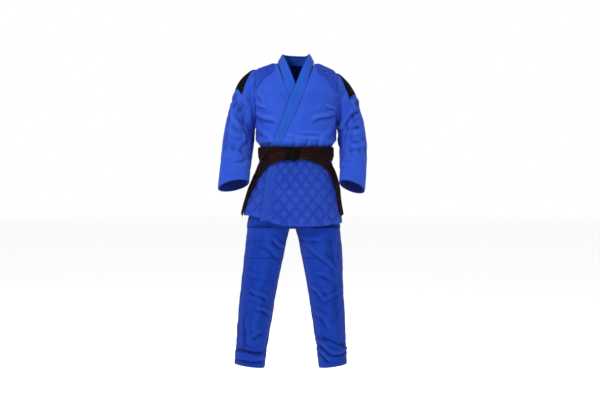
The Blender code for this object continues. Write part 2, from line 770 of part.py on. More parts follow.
make_fronts(WEAVE)
make_backs(WEAVE)
make_skirt(QUILT)
make_yokes(WEAVE)
make_lapels(BAND)
make_sleeves(WEAVE, STRIP)
belt_turn("belt_inner_turn", 0.0, BELT)
belt_turn("belt_outer_turn", BELT_THICK + SEAM_GAP, BELT)
make_knot(BELT)
make_tails(BELT)
make_trousers(TROUSER)
make_legs(TROUSER)
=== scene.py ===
# %% [markdown]
# # A judo uniform, sewn piece by piece
# The uniform is a wrapped jacket, a belt tied in a flat knot and a pair of loose trousers. It
# stands as if it were being worn, so every piece is a sheet of cloth that goes round a body
# which isn't there. The plan is the tailor's: cut a flat piece, lay it on its place, press the
# folds into it, sew the edges down, and give it a weave.

# %% The frame and the tools
from math import acos, asin, copysign, cos, exp, pi, radians, sin, sqrt

import bmesh
import bpy
import numpy as np
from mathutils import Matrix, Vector, noise
from mathutils.kdtree import KDTree


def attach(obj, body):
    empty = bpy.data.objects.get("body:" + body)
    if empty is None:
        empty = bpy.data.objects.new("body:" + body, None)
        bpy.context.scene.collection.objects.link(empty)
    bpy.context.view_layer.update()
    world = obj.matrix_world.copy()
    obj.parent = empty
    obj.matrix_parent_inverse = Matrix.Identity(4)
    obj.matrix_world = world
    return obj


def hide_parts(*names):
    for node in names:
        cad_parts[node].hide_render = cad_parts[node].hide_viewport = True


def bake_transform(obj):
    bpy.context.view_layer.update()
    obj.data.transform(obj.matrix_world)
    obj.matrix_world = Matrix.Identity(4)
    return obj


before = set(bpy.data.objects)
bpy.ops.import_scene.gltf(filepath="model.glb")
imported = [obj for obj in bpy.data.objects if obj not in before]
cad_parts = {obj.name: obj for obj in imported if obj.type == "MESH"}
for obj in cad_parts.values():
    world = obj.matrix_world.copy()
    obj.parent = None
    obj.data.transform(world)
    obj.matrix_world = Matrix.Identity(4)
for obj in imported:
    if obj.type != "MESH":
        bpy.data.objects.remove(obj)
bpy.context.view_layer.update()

# %% [markdown]
# ## Camera, floor and light
# A long lens from six metres keeps the two legs the same size, and its height is the middle of
# the uniform. Cloth shows its folds only when light comes from one side more than the other, so
# a large soft lamp stands high on one side, a weaker one fills the other side, and the world
# around is a plain white.

# %% The camera and the stage
CAMERA_DISTANCE = 6.0
CAMERA_HEIGHT = -0.630
SEEN_WIDTH = 2.82          # metres seen across, at the uniform's own distance
FLOOR = -1.490             # a sole's thickness and a foot below the trouser hems

camera_data = bpy.data.cameras.new("camera")
camera_data.sensor_width = 36.0
camera_data.lens = 36.0 * CAMERA_DISTANCE / SEEN_WIDTH
camera = bpy.data.objects.new("camera", camera_data)
camera.location = (0.019, -CAMERA_DISTANCE, CAMERA_HEIGHT)
camera.rotation_euler = (radians(90), 0, 0)
bpy.context.scene.collection.objects.link(camera)
bpy.context.scene.camera = camera
bpy.context.scene.view_settings.view_transform = "Standard"


def area_lamp(name, place, aim, size, watts):
    lamp = bpy.data.lights.new(name, "AREA")
    lamp.shape = "DISK"
    lamp.size = size
    lamp.energy = watts
    obj = bpy.data.objects.new(name, lamp)
    obj.location = place
    obj.rotation_euler = (Vector(aim) - Vector(place)).to_track_quat("-Z", "Y").to_euler()
    bpy.context.scene.collection.objects.link(obj)


MIDDLE = (0.0, 0.0, -0.65)
area_lamp("key lamp", (-2.6, -3.0, 1.9), MIDDLE, 1.1, 99)
area_lamp("fill lamp", (2.8, -2.8, 0.6), MIDDLE, 1.8, 25)
area_lamp("back lamp", (1.5, 3.2, 1.8), MIDDLE, 2.0, 46)
area_lamp("top lamp", (0.0, -0.5, 2.6), MIDDLE, 1.8, 30)

world = bpy.data.worlds.new("white room")
bpy.context.scene.world = world
world.use_nodes = True
tree = world.node_tree
light = tree.nodes["Background"]
light.inputs["Color"].default_value = (1.0, 1.0, 1.0, 1.0)
light.inputs["Strength"].default_value = 0.15
seen = tree.nodes.new("ShaderNodeBackground")
seen.inputs["Strength"].default_value = 1.0
seen.inputs["Color"].default_value = (1.0, 1.0, 1.0, 1.0)
ray = tree.nodes.new("ShaderNodeLightPath")
swap = tree.nodes.new("ShaderNodeMixShader")
tree.links.new(ray.outputs["Is Camera Ray"], swap.inputs[0])
tree.links.new(light.outputs[0], swap.inputs[1])
tree.links.new(seen.outputs[0], swap.inputs[2])
tree.links.new(swap.outputs[0], tree.nodes["World Output"].inputs["Surface"])

bm = bmesh.new()
bmesh.ops.create_circle(bm, cap_ends=True, radius=60.0, segments=96)
bmesh.ops.translate(bm, verts=bm.verts, vec=(0, 0, FLOOR))
floor_mesh = bpy.data.meshes.new("floor")
bm.to_mesh(floor_mesh)
bm.free()
floor = bpy.data.objects.new("floor", floor_mesh)
bpy.context.scene.collection.objects.link(floor)
paper = bpy.data.materials.new("white paper")
paper.use_nodes = True
paper.node_tree.nodes["Principled BSDF"].inputs["Base Color"].default_value = (0.93, 0.93, 0.93, 1)
paper.node_tree.nodes["Principled BSDF"].inputs["Roughness"].default_value = 0.9
paper.node_tree.nodes["Principled BSDF"].inputs["Emission Color"].default_value = (1, 1, 1, 1)
paper.node_tree.nodes["Principled BSDF"].inputs["Emission Strength"].default_value = 0.82
floor_mesh.materials.append(paper)

# %% [markdown]
# ## The shape under the cloth
# A tailor measures a body at a few heights and lets the cloth run smoothly between them. The
# same is done here: rows of half width and half depth, a curve that never overshoots a row, and
# squarish ovals for the sections. Everything later is placed by these few functions, so pieces
# that are sewn together share their edges.

# %% Measures of the uniform
SHOULDER_DROP = 0.040      # the shoulder tip hangs this far below the neck
SHOULDER_LEAN = 0.045      # the wearer's left shoulder is lower, by this share of the width
NECK_HALF = 0.088
NECK_BACK = 0.072
CHEST = -0.130             # above this the chest rounds over into the shoulder
ARMHOLE_X = 0.188
ARMHOLE_FLOOR = -0.270
BELT_TOP = -0.385
BELT_WIDTH = 0.046
WAIST_SEAM = -0.434
JACKET_HEM = -0.745
HIP_SHIFT = -0.016
LAPEL_WIDTH = 0.045
LAPEL_AT_BELT = -0.078
LAPEL_SLOPE_BELOW = 0.14
TROUSER_TOP = -0.372
WAISTBAND_WIDTH = 0.042
CROTCH = -0.757
KNEE = -1.070
TROUSER_HEM = -1.405
CLOTH = 0.003              # thickness of the jacket's cloth
LAPEL_THICK = 0.0045
TWILL = 0.0025             # thickness of the trousers' cloth
BELT_THICK = 0.0035
OVER = 0.008               # the left front lies this far outside the right one
TOP = 89.8                 # rise at which front and back meet on the shoulder

JACKET_BODY = (
    (JACKET_HEM, 0.230, 0.152),
    (-0.600, 0.208, 0.143),
    (-0.500, 0.184, 0.130),
    (WAIST_SEAM, 0.164, 0.116),
    (BELT_TOP, 0.164, 0.116),
    (-0.345, 0.184, 0.137),
    (-0.240, 0.189, 0.142),
    (CHEST, 0.198, 0.132),
)
SEAT_BODY = (
    (CROTCH, 0.206, 0.128),
    (-0.700, 0.200, 0.128),
    (-0.600, 0.182, 0.124),
    (-0.500, 0.160, 0.114),
    (TROUSER_TOP, 0.148, 0.103),
)
SLEEVES = {
    "left": {
        "sign": 1,
        "outer": ((0.1915, -0.036), (0.280, -0.050), (0.355, -0.250), (0.318, -0.590)),
        "inner": ((0.1915, -0.272), (0.197, -0.285), (0.212, -0.400), (0.198, -0.548)),
    },
    "right": {
        "sign": -1,
        "outer": ((-0.1915, -0.036), (-0.300, -0.050), (-0.330, -0.240), (-0.360, -0.580)),
        "inner": ((-0.1915, -0.272), (-0.197, -0.285), (-0.204, -0.420), (-0.214, -0.548)),
    },
}
LEGS = {
    "left": {"sign": 1, "outer": (0.206, 0.224, 0.240), "inner": (-0.005, 0.062, 0.106)},
    "right": {"sign": -1, "outer": (-0.228, -0.262, -0.290), "inner": (-0.027, -0.098, -0.146)},
}
LEG_DEPTHS = (0.116, 0.100, 0.080)
TAIL_RUNS = {
    "left": ((-79, -0.423, 0.025), (-66, -0.434, 0.025), (-49, -0.457, 0.024),
             (-34, -0.500, 0.016), (-25, -0.554, 0.012), (-19, -0.610, 0.010),
             (-13, -0.700, 0.010)),
    "right": ((-101, -0.423, 0.025), (-114, -0.434, 0.025), (-131, -0.457, 0.024),
              (-146, -0.500, 0.013), (-155, -0.554, 0.010), (-162, -0.610, 0.008),
              (-169, -0.702, 0.008)),
}


# %% Small sums
def clamp01(t):
    return max(0.0, min(1.0, t))


def smooth(t):
    t = clamp01(t)
    return t * t * (3 - 2 * t)


def mix(a, b, t):
    return a + (b - a) * t


def bump(distance, width):
    """A soft bump that is 1 in its middle."""
    return exp(-((distance / width) ** 2))


def signed_power(value, power):
    return copysign(abs(value) ** power, value)


def slope_at(rows, i, column):
    if i == 0 or i == len(rows) - 1:
        return 0.0
    before = (rows[i][column] - rows[i - 1][column]) / (rows[i][0] - rows[i - 1][0])
    after = (rows[i + 1][column] - rows[i][column]) / (rows[i + 1][0] - rows[i][0])
    return 2 * before * after / (before + after) if before * after > 0 else 0.0


def between(rows, z, column):
    """Value of a column at height z, on a smooth curve that never overshoots a row."""
    z = max(rows[0][0], min(rows[-1][0], z))
    i = next(k for k in range(len(rows) - 1) if z <= rows[k + 1][0])
    width = rows[i + 1][0] - rows[i][0]
    t = (z - rows[i][0]) / width
    start, end = slope_at(rows, i, column) * width, slope_at(rows, i + 1, column) * width
    low, high = rows[i][column], rows[i + 1][column]
    return (low * (1 + 2 * t) * (1 - t) ** 2 + start * t * (1 - t) ** 2
            + high * t * t * (3 - 2 * t) + end * t * t * (t - 1))


def cubic(points, t):
    a, b, c, d = (Vector(p) for p in points)
    s = 1 - t
    return a * s**3 + b * 3 * s * s * t + c * 3 * s * t * t + d * t**3


def quadratic_through(values, t):
    a, b, c = values
    return a * (2 * t - 1) * (t - 1) + b * 4 * t * (1 - t) + c * t * (2 * t - 1)


# %% The jacket's body
def settled(point):
    """The whole upper body leans a little, fading out below the chest."""
    lowered = SHOULDER_LEAN * point.x * smooth((point.z + 0.34) / 0.26)
    return Vector((point.x, point.y, point.z - lowered))


def hip_shift(z):
    return HIP_SHIFT * smooth((-0.38 - z) / 0.32)


def shoulder_line(x):
    slope = SHOULDER_DROP / (ARMHOLE_X - NECK_HALF)
    return 0.006 - slope * max(0.0, abs(x) - NECK_HALF)


def squareness(z):
    return mix(2.4, 3.0, smooth((z + 0.30) / 0.17))


def body_point(turn, z, out=0.0):
    """turn is 0 at the wearer's left side, -90 in front and +90 behind, in degrees."""
    power = 2 / squareness(z)
    wide = between(JACKET_BODY, z, 1) + out
    deep = between(JACKET_BODY, z, 2) + out
    angle = radians(turn)
    x = hip_shift(z) + wide * signed_power(cos(angle), power)
    return Vector((x, deep * signed_power(sin(angle), power), z))


def shoulder_point(turn, rise, out=0.0):
    """rise is 0 at the chest and 90 on the shoulder line."""
    base = body_point(turn, CHEST, out)
    angle = radians(rise)
    height = shoulder_line(base.x) + out - CHEST
    return Vector((base.x, base.y * cos(angle), CHEST + height * sin(angle)))


def turn_for_x(x, z, out=0.0):
    z = min(z, CHEST)
    wide = between(JACKET_BODY, z, 1) + out
    share = max(-1.0, min(1.0, (x - hip_shift(z)) / wide))
    return -degrees_of(acos(signed_power(share, squareness(z) / 2)))


def degrees_of(angle):
    return angle * 180 / pi


def armhole_turn(z):
    """How far the armhole's edge is turned from the side at height z."""
    if z <= ARMHOLE_FLOOR:
        return 0.0
    chest_turn = abs(turn_for_x(ARMHOLE_X, CHEST))
    if z >= CHEST:
        return chest_turn
    depth = abs(body_point(-chest_turn, CHEST).y)
    part = (z - CHEST) / (ARMHOLE_FLOOR - CHEST)
    depth *= sqrt(max(0.0, 1 - part * part))
    share = clamp01(depth / between(JACKET_BODY, z, 2))
    return degrees_of(asin(share ** (squareness(z) / 2)))


def over_out(turn, out):
    """The over front sinks back onto the body towards the side seam."""
    return out * smooth((abs(turn) - 10) / 35) if out else 0.0


def lapel_x(z, edge):
    """edge 0 is the seam to the front panel and edge 1 the free edge."""
    if z < BELT_TOP:
        seam = LAPEL_AT_BELT - LAPEL_SLOPE_BELOW * (BELT_TOP - z)
    else:
        t = clamp01((z - BELT_TOP) / (0.004 - BELT_TOP))
        seam = mix(LAPEL_AT_BELT, NECK_HALF, t * (1 + 0.16 * (1 - t)))
    return seam - edge * LAPEL_WIDTH * mix(1.10, 0.80, smooth((-0.15 - z) / 0.22))


def mirrored(side, point, z):
    if side < 0:
        point.x = 2 * hip_shift(z) - point.x
    return point


# %% [markdown]
# ## Weaves as node groups
# Jacket cloth is a rice weave: rows of grains, each row shifted by half a grain. The trousers
# are a twill with fine diagonal ribs, and the belt and the black strips are ribbed tapes. Each
# weave is a shader group built once, which gives a height and a mask, so that every material
# can use it at its own scale. They read a map in metres that each piece carries.

# %% Helpers for node trees
def node(tree, kind, settings=None, **inputs):
    """Adds a node; an input may be a value or another node's output."""
    made = tree.nodes.new(kind)
    for key, value in (settings or {}).items():
        setattr(made, key, value)
    for key, value in inputs.items():
        socket = made.inputs[int(key[1:]) if key[1:].isdigit() else key.replace("_", " ")]
        if isinstance(value, bpy.types.NodeSocket):
            tree.links.new(value, socket)
        else:
            socket.default_value = value
    return made


def math(tree, operation, a, b=0.0, c=0.0):
    return node(tree, "ShaderNodeMath", {"operation": operation}, i0=a, i1=b, i2=c).outputs[0]


def laid_over(tree, share, under, over):
    """One colour laid over another by a share."""
    return node(tree, "ShaderNodeMix", {"data_type": "RGBA"}, i0=share, i6=under,
                i7=over).outputs[2]


def ranged(tree, value, low, high, start=0.0, end=1.0):
    """Carries the range from low to high to the one from start to end."""
    return node(tree, "ShaderNodeMapRange", i0=value, i1=low, i2=high, i3=start,
                i4=end).outputs[0]


def new_group(name, inputs, outputs):
    """A shader group whose inputs are (name, kind, value) and outputs (name, kind)."""
    tree = bpy.data.node_groups.new(name, "ShaderNodeTree")
    for label, kind, value in inputs:
        socket = tree.interface.new_socket(label, in_out="INPUT", socket_type=kind)
        if value is not None:
            socket.default_value = value
    for label, kind in outputs:
        tree.interface.new_socket(label, in_out="OUTPUT", socket_type=kind)
    return tree, tree.nodes.new("NodeGroupInput").outputs, tree.nodes.new("NodeGroupOutput")


FLOAT, VECTOR, COLOUR = "NodeSocketFloat", "NodeSocketVector", "NodeSocketColor"


def half_waves(tree, across, size):
    """|sin| along one direction, one hump for every size."""
    turns = math(tree, "MULTIPLY", math(tree, "DIVIDE", across, size), pi)
    return math(tree, "ABSOLUTE", math(tree, "SINE", turns))


# %% The rice weave
def rice_weave():
    tree, given, out = new_group(
        "rice weave",
        [("Map", VECTOR, None), ("Grain length", FLOAT, 0.005), ("Row height", FLOAT, 0.0024)],
        [("Height", FLOAT), ("Thread", FLOAT)])
    axes = node(tree, "ShaderNodeSeparateXYZ", i0=given["Map"]).outputs
    row = math(tree, "FLOOR", math(tree, "DIVIDE", axes["Y"], given["Row height"]))
    half_grain = math(tree, "MULTIPLY", given["Grain length"], 0.5)
    shifted = math(tree, "MULTIPLY_ADD", row, half_grain, axes["X"])
    grain = half_waves(tree, shifted, given["Grain length"])
    rib = half_waves(tree, axes["Y"], given["Row height"])
    height = math(tree, "MULTIPLY", math(tree, "POWER", grain, 0.6), rib)
    uneven = node(tree, "ShaderNodeTexNoise", Vector=given["Map"], Scale=330.0, Detail=2.0)
    height = math(tree, "MULTIPLY_ADD", uneven.outputs["Fac"], 0.35, height)
    tree.links.new(height, out.inputs["Height"])
    tree.links.new(math(tree, "MINIMUM", height, 1.0), out.inputs["Thread"])
    return tree


# %% The twill and the ribbed tape
def twill_weave():
    tree, given, out = new_group(
        "twill weave",
        [("Map", VECTOR, None), ("Rib", FLOAT, 0.0018), ("Slant", FLOAT, 1.0)],
        [("Height", FLOAT), ("Thread", FLOAT)])
    axes = node(tree, "ShaderNodeSeparateXYZ", i0=given["Map"]).outputs
    slanted = math(tree, "MULTIPLY_ADD", axes["Y"], given["Slant"], axes["X"])
    rib = half_waves(tree, slanted, given["Rib"])
    thread = half_waves(tree, axes["Y"], math(tree, "MULTIPLY", given["Rib"], 0.5))
    height = math(tree, "MULTIPLY_ADD", thread, 0.25, rib)
    slub = node(tree, "ShaderNodeTexNoise", Vector=given["Map"], Scale=260.0, Detail=3.0)
    height = math(tree, "MULTIPLY_ADD", slub.outputs["Fac"], 0.5, height)
    tree.links.new(height, out.inputs["Height"])
    tree.links.new(math(tree, "MULTIPLY", height, 0.6), out.inputs["Thread"])
    return tree


RICE = rice_weave()
TWILL_RIBS = twill_weave()

# %% [markdown]
# ## Stitches and tone
# A row of stitches is a line of short raised threads beside a seam. Each piece carries a second
# map whose first number runs along its nearest seam and whose second is the distance to it, so
# one group can sew any edge. A third group varies the dye: it is paler in random patches where it
# rubs, shade is painted between the threads of the weave, and the cloth is darker within a few
# millimetres of a seam.

# %% Stitches
def stitch_rows():
    tree, given, out = new_group(
        "stitch rows",
        [("Seam map", VECTOR, None), ("First row", FLOAT, 0.003), ("Second row", FLOAT, 0.009),
         ("Stitch", FLOAT, 0.0032), ("Thread", FLOAT, 0.0006)],
        [("Mask", FLOAT), ("Pucker", FLOAT)])
    axes = node(tree, "ShaderNodeSeparateXYZ", i0=given["Seam map"]).outputs
    masks, puckers = [], []
    for name in ("First row", "Second row"):
        off = math(tree, "ABSOLUTE", math(tree, "SUBTRACT", axes["Y"], given[name]))
        masks.append(math(tree, "LESS_THAN", off, given["Thread"]))
        near = math(tree, "DIVIDE", off, math(tree, "MULTIPLY", given["Thread"], 3.0))
        puckers.append(math(tree, "MAXIMUM", math(tree, "SUBTRACT", 1.0, near), 0.0))
    dash = math(tree, "LESS_THAN", math(tree, "FRACT", math(tree, "DIVIDE", axes["X"],
                                                            given["Stitch"])), 0.72)
    mask = math(tree, "MULTIPLY", math(tree, "MAXIMUM", *masks), dash)
    tree.links.new(mask, out.inputs["Mask"])
    tree.links.new(math(tree, "MAXIMUM", *puckers), out.inputs["Pucker"])
    return tree


# %% Uneven dye and painted shade
def uneven_dye_and_painted_shade():
    tree, given, out = new_group(
        "uneven dye and painted shade",
        [("Dye", COLOUR, (0.1, 0.1, 0.5, 1)), ("Deep", COLOUR, (0.05, 0.05, 0.3, 1)),
         ("Pale", COLOUR, (0.2, 0.2, 0.6, 1)), ("Thread", FLOAT, 0.5), ("Seam map", VECTOR, None),
         ("Patch size", FLOAT, 7.0)],
        [("Colour", COLOUR), ("Roughness", FLOAT)])
    place = node(tree, "ShaderNodeTexCoord").outputs["Object"]
    cloudy = node(tree, "ShaderNodeTexNoise", Vector=place, Scale=given["Patch size"], Detail=4.0,
                  Roughness=0.6).outputs["Fac"]
    cloudy = ranged(tree, cloudy, 0.36, 0.66)
    fibres = node(tree, "ShaderNodeTexNoise", Vector=place, Scale=420.0, Detail=2.0).outputs["Fac"]
    between_threads = math(tree, "SUBTRACT", 1.0, given["Thread"])
    # painted shade: the dye darkens towards the deep colour between the threads of the weave
    painted_sunken_shade = math(tree, "MULTIPLY", between_threads, 0.55)
    base = laid_over(tree, painted_sunken_shade, given["Dye"], given["Deep"])
    rubbed = math(tree, "MULTIPLY", math(tree, "MULTIPLY", cloudy, fibres), 0.55)
    base = laid_over(tree, rubbed, base, given["Pale"])
    edge = node(tree, "ShaderNodeSeparateXYZ", i0=given["Seam map"]).outputs["Y"]
    base = laid_over(tree, ranged(tree, edge, 0.0, 0.004, 0.75, 0.0), base, given["Deep"])
    tree.links.new(base, out.inputs["Colour"])
    tree.links.new(ranged(tree, fibres, 0.3, 0.7, 0.78, 0.95), out.inputs["Roughness"])
    return tree


STITCHES = stitch_rows()
DYE_AND_PAINTED_SHADE = uneven_dye_and_painted_shade()


# %% Lines of quilting
def quilt_lines():
    tree, given, out = new_group("quilt lines", [("Lattice map", VECTOR, None)],
                                 [("Line", FLOAT), ("Stitch", FLOAT)])
    axes = node(tree, "ShaderNodeSeparateXYZ", i0=given["Lattice map"]).outputs
    first = half_waves(tree, axes["X"], 1.0)
    second = half_waves(tree, axes["Y"], 1.0)
    nearest = math(tree, "MINIMUM", first, second)
    tree.links.new(ranged(tree, nearest, 0.0, 0.42, 1.0, 0.0), out.inputs["Line"])
    dash = math(tree, "FRACT", math(tree, "MULTIPLY", math(tree, "ADD", axes["X"], axes["Y"]), 7.0))
    dashed = math(tree, "LESS_THAN", dash, 0.7)
    sewn = math(tree, "LESS_THAN", nearest, 0.045)
    tree.links.new(math(tree, "MULTIPLY", dashed, sewn), out.inputs["Stitch"])
    return tree


QUILT_LINES = quilt_lines()

# %% [markdown]
# ## Cloth as a material
# Every cloth is the same build with other values: a weave for its height, the uneven dye group for
# its colour and for shade painted between the threads, and stitches or quilting where it has them,
# the quilting with shade painted along its valleys. A piece also keeps how deep its folds lie, and
# from that shade is painted into the hollow of each fold and a highlight onto its ridge, on top of
# the shading that the lamps give.


# %% A cloth material from the groups
def cloth_material(name, dye, deep, pale, weave, sizes, depth, stitches=None, thread=None,
                   sheen=0.05, patch_size=7.0, quilted=False, painted_fold_shade_strength=1.15):
    """dye, deep and pale are linear colours: the cloth's own colour, a deeper one for painted shade
    and the darker band along seams, and a paler one for wear, thread and painted highlights; sizes
    are the weave group's own inputs; depth is the weave's relief in metres, and the last argument
    how much shade is painted into the folds."""
    material = bpy.data.materials.new(name)
    material.use_nodes = True
    tree = material.node_tree
    shader = tree.nodes["Principled BSDF"]
    weave_map = node(tree, "ShaderNodeUVMap", {"uv_map": "weave"}).outputs[0]
    seam_map = node(tree, "ShaderNodeUVMap", {"uv_map": "seam"}).outputs[0]
    woven = node(tree, "ShaderNodeGroup", {"node_tree": weave}, Map=weave_map)
    for label, value in sizes.items():
        woven.inputs[label].default_value = value
    dyed_and_shaded = node(tree, "ShaderNodeGroup", {"node_tree": DYE_AND_PAINTED_SHADE}, Dye=(*dye, 1), Deep=(*deep, 1),
                Pale=(*pale, 1), Thread=woven.outputs["Thread"], Seam_map=seam_map,
                Patch_size=patch_size)
    colour, height = dyed_and_shaded.outputs["Colour"], woven.outputs["Height"]
    if stitches:
        thread = thread or [mix(a, b, 0.5) for a, b in zip(dye, pale)]
        sewn = node(tree, "ShaderNodeGroup", {"node_tree": STITCHES}, Seam_map=seam_map,
                    First_row=stitches[0], Second_row=stitches[1])
        colour = laid_over(tree, sewn.outputs["Mask"], colour, (*thread, 1))
        pressed = math(tree, "MULTIPLY_ADD", sewn.outputs["Pucker"], -1.2, height)
        height = math(tree, "ADD", pressed, sewn.outputs["Mask"])
    if quilted:
        lattice_map = node(tree, "ShaderNodeUVMap", {"uv_map": "lattice"}).outputs[0]
        lines = node(tree, "ShaderNodeGroup", {"node_tree": QUILT_LINES}, Lattice_map=lattice_map)
        # painted shade: the cloth darkens towards the deep colour along the quilting's valleys
        painted_sunken_shade = math(tree, "MULTIPLY", lines.outputs["Line"], 0.40)
        colour = laid_over(tree, painted_sunken_shade, colour, (*deep, 1))
        colour = laid_over(tree, lines.outputs["Stitch"], colour, (*pale, 1))
    # Painted shade and highlight: the fold measure darkens the hollow of each fold and lays the
    # pale colour on its ridges.
    fold = node(tree, "ShaderNodeAttribute", {"attribute_name": "fold"}).outputs["Fac"]
    hollow = math(tree, "MULTIPLY_ADD", fold, -painted_fold_shade_strength, painted_fold_shade_strength / 2)
    colour = laid_over(tree, hollow, colour, (*[0.35 * part for part in deep], 1))
    # painted highlight on the ridges of the folds
    raised = math(tree, "MULTIPLY_ADD", fold, 0.9, -0.45)
    colour = laid_over(tree, raised, colour, (*pale, 1))
    relief = node(tree, "ShaderNodeBump", Height=height, Distance=depth, Strength=0.8)
    tree.links.new(colour, shader.inputs["Base Color"])
    tree.links.new(dyed_and_shaded.outputs["Roughness"], shader.inputs["Roughness"])
    tree.links.new(relief.outputs[0], shader.inputs["Normal"])
    shader.inputs["Sheen Weight"].default_value = sheen
    shader.inputs["Sheen Roughness"].default_value = 0.5
    shader.inputs["Specular IOR Level"].default_value = 0.10
    return material



# %% The cloths of this uniform
RICE_SIZES = {"Grain length": 0.0056, "Row height": 0.0028}
TAPE_RIBS = {"Rib": 0.0015, "Slant": 0.0}
# the cloth's colour, the deeper colour used for painted shade, and the paler one for wear and
# painted highlights
JACKET_DYE_SHADE_AND_PALE = ((0.027, 0.090, 0.630), (0.010, 0.040, 0.370), (0.052, 0.145, 0.740))
JACKET_SEAMS = (0.004, 0.010)
jacket_cloth = cloth_material("rice weave jacket", *JACKET_DYE_SHADE_AND_PALE, RICE, RICE_SIZES, 0.0009,
                              JACKET_SEAMS)
# the sleeves' copy of the jacket's cloth paints stronger shade into its folds
sleeve_cloth = cloth_material("rice weave sleeves", *JACKET_DYE_SHADE_AND_PALE, RICE, RICE_SIZES, 0.0009,
                              JACKET_SEAMS, painted_fold_shade_strength=2.1)
skirt_cloth = cloth_material("quilted skirt", (0.015, 0.055, 0.460), (0.007, 0.028, 0.270),
                             (0.042, 0.108, 0.590), RICE,
                             {"Grain length": 0.0040, "Row height": 0.0022}, 0.0007,
                             (0.005, 0.011), quilted=True, painted_fold_shade_strength=0.75)
lapel_cloth = cloth_material("lapel band", (0.018, 0.100, 0.590), (0.006, 0.046, 0.350),
                             (0.036, 0.148, 0.680), TWILL_RIBS, {"Rib": 0.0022}, 0.0006,
                             (0.0055, 0.0135))
trouser_cloth = cloth_material("trouser twill", (0.0050, 0.040, 0.390), (0.0018, 0.016, 0.210),
                               (0.013, 0.078, 0.500), TWILL_RIBS, {"Rib": 0.0020}, 0.0006,
                               (0.004, 0.010), painted_fold_shade_strength=1.8)
black_tape = cloth_material("black tape", (0.0014, 0.0013, 0.0017), (0.0006, 0.0006, 0.0008),
                            (0.006, 0.0055, 0.007), TWILL_RIBS, {"Rib": 0.0016, "Slant": 0.0},
                            0.0006, (0.003, 0.0005), (0.005, 0.005, 0.006), 0.0)
# the belt's pale colour is both random wear and the painted highlight on the ridges of its creases
belt_cloth = cloth_material("belt cotton", (0.0066, 0.0018, 0.0018), (0.0016, 0.0006, 0.0006),
                            (0.050, 0.013, 0.010), TWILL_RIBS, TAPE_RIBS, 0.0006,
                            sheen=0.01, patch_size=16.0, painted_fold_shade_strength=2.2)
# the same cotton as the belt, painted darker as shade at the knot
knot_cloth_in_painted_shade = cloth_material("belt cotton at the knot in painted shade", (0.0011, 0.0006, 0.0005),
                            (0.0005, 0.0003, 0.0003), (0.007, 0.002, 0.0016), TWILL_RIBS,
                            TAPE_RIBS, 0.0006, sheen=0.01, patch_size=16.0)
# a darker copy of the jacket's cloth: shade is painted into the inside of the cuff
shaded_facing_cloth = cloth_material("inside of the cuff in painted shade", (0.006, 0.021, 0.190), (0.003, 0.010, 0.090),
                              (0.012, 0.036, 0.240), RICE, RICE_SIZES, 0.0008, JACKET_SEAMS)
print("materials:", [m.name for m in bpy.data.materials])

# %% [markdown]
# ## Cutting and sewing
# Each piece starts as a flat grid, as cloth does, and every corner of the grid is carried to its
# place by a function of its two shares, across and along. The grid keeps two maps: the weave
# map in metres, and the seam map. Along a seam the cloth is drawn in, which makes the shallow
# groove a sewn edge has. At last a Solidify modifier gives the cloth its thickness.


def row_lengths(points):
    """Length of the middle row and of the middle column of a grid of points."""
    middle_row = points[points.shape[0] // 2]
    middle_column = points[:, points.shape[1] // 2]
    return [float(np.linalg.norm(np.diff(line, axis=0), axis=1).sum())
            for line in (middle_row, middle_column)]


def normals_of(points, closed, core):
    """Unit normals over a grid of points, turned away from the core line."""
    if closed:
        wide = np.concatenate([points[:, -2:-1], points, points[:, 1:2]], axis=1)
        across = wide[:, 2:] - wide[:, :-2]
    else:
        across = np.gradient(points, axis=1)
    along = np.gradient(points, axis=0)
    normals = np.cross(across, along)
    normals /= np.maximum(np.linalg.norm(normals, axis=2, keepdims=True), 1e-9)
    if callable(core):
        away = core(points)
    else:
        away = points - np.array([core[0], core[1], 0.0])
        away[..., 2] = 0.0
    facing = 1.0 if (normals * away).sum() > 0 else -1.0
    return normals * facing, facing


def own_middle(points):
    """A core for tubes: each row faces away from its own middle."""
    return points - points.mean(axis=1, keepdims=True)


def one_way(x, y, z):
    """A core for pieces that face one way all over."""
    def core(points):
        return np.zeros(points.shape) + (x, y, z)

    return core


def cut_piece(name, columns, rows, place, thick, material, core=(0.0, 0.0), seams="lr",
              closed=False, relief=None, groove=0.0016, third_map=None):
    """One sheet. place(u, v) gives the point for shares across and along, and relief
    (point, u, v) how far the cloth stands out there. seams names the sewn sides."""
    shares_u = np.linspace(0, 1, columns + 1)
    shares_v = np.linspace(0, 1, rows + 1)
    points = np.array([[tuple(place(u, v)) for u in shares_u] for v in shares_v])
    wide, long = row_lengths(points)
    normals, facing = normals_of(points, closed, core)
    u, v = np.meshgrid(shares_u, shares_v)
    sides = {"l": (u * wide, v * long), "r": ((1 - u) * wide, v * long),
             "b": (v * long, u * wide), "t": ((1 - v) * long, u * wide)}
    distance = np.full(u.shape, 1.0)
    along = v * long
    for side in seams:
        closer = sides[side][0] < distance
        along = np.where(closer, sides[side][1], along)
        distance = np.minimum(distance, sides[side][0])
    lift = -groove * np.exp(-((distance / 0.004) ** 2))
    if relief:
        lift = lift + np.array([[relief(points[j, i], u[j, i], v[j, i])
                                 for i in range(columns + 1)] for j in range(rows + 1)])
    maps = {"weave": (u * wide, v * long), "seam": (along, distance)}
    if third_map:
        pairs = np.array([[third_map(point) for point in row] for row in points])
        maps["lattice"] = (pairs[..., 0], pairs[..., 1])
    points = points + normals * lift[..., None]
    return sew(name, points, maps, facing, closed, thick, material)


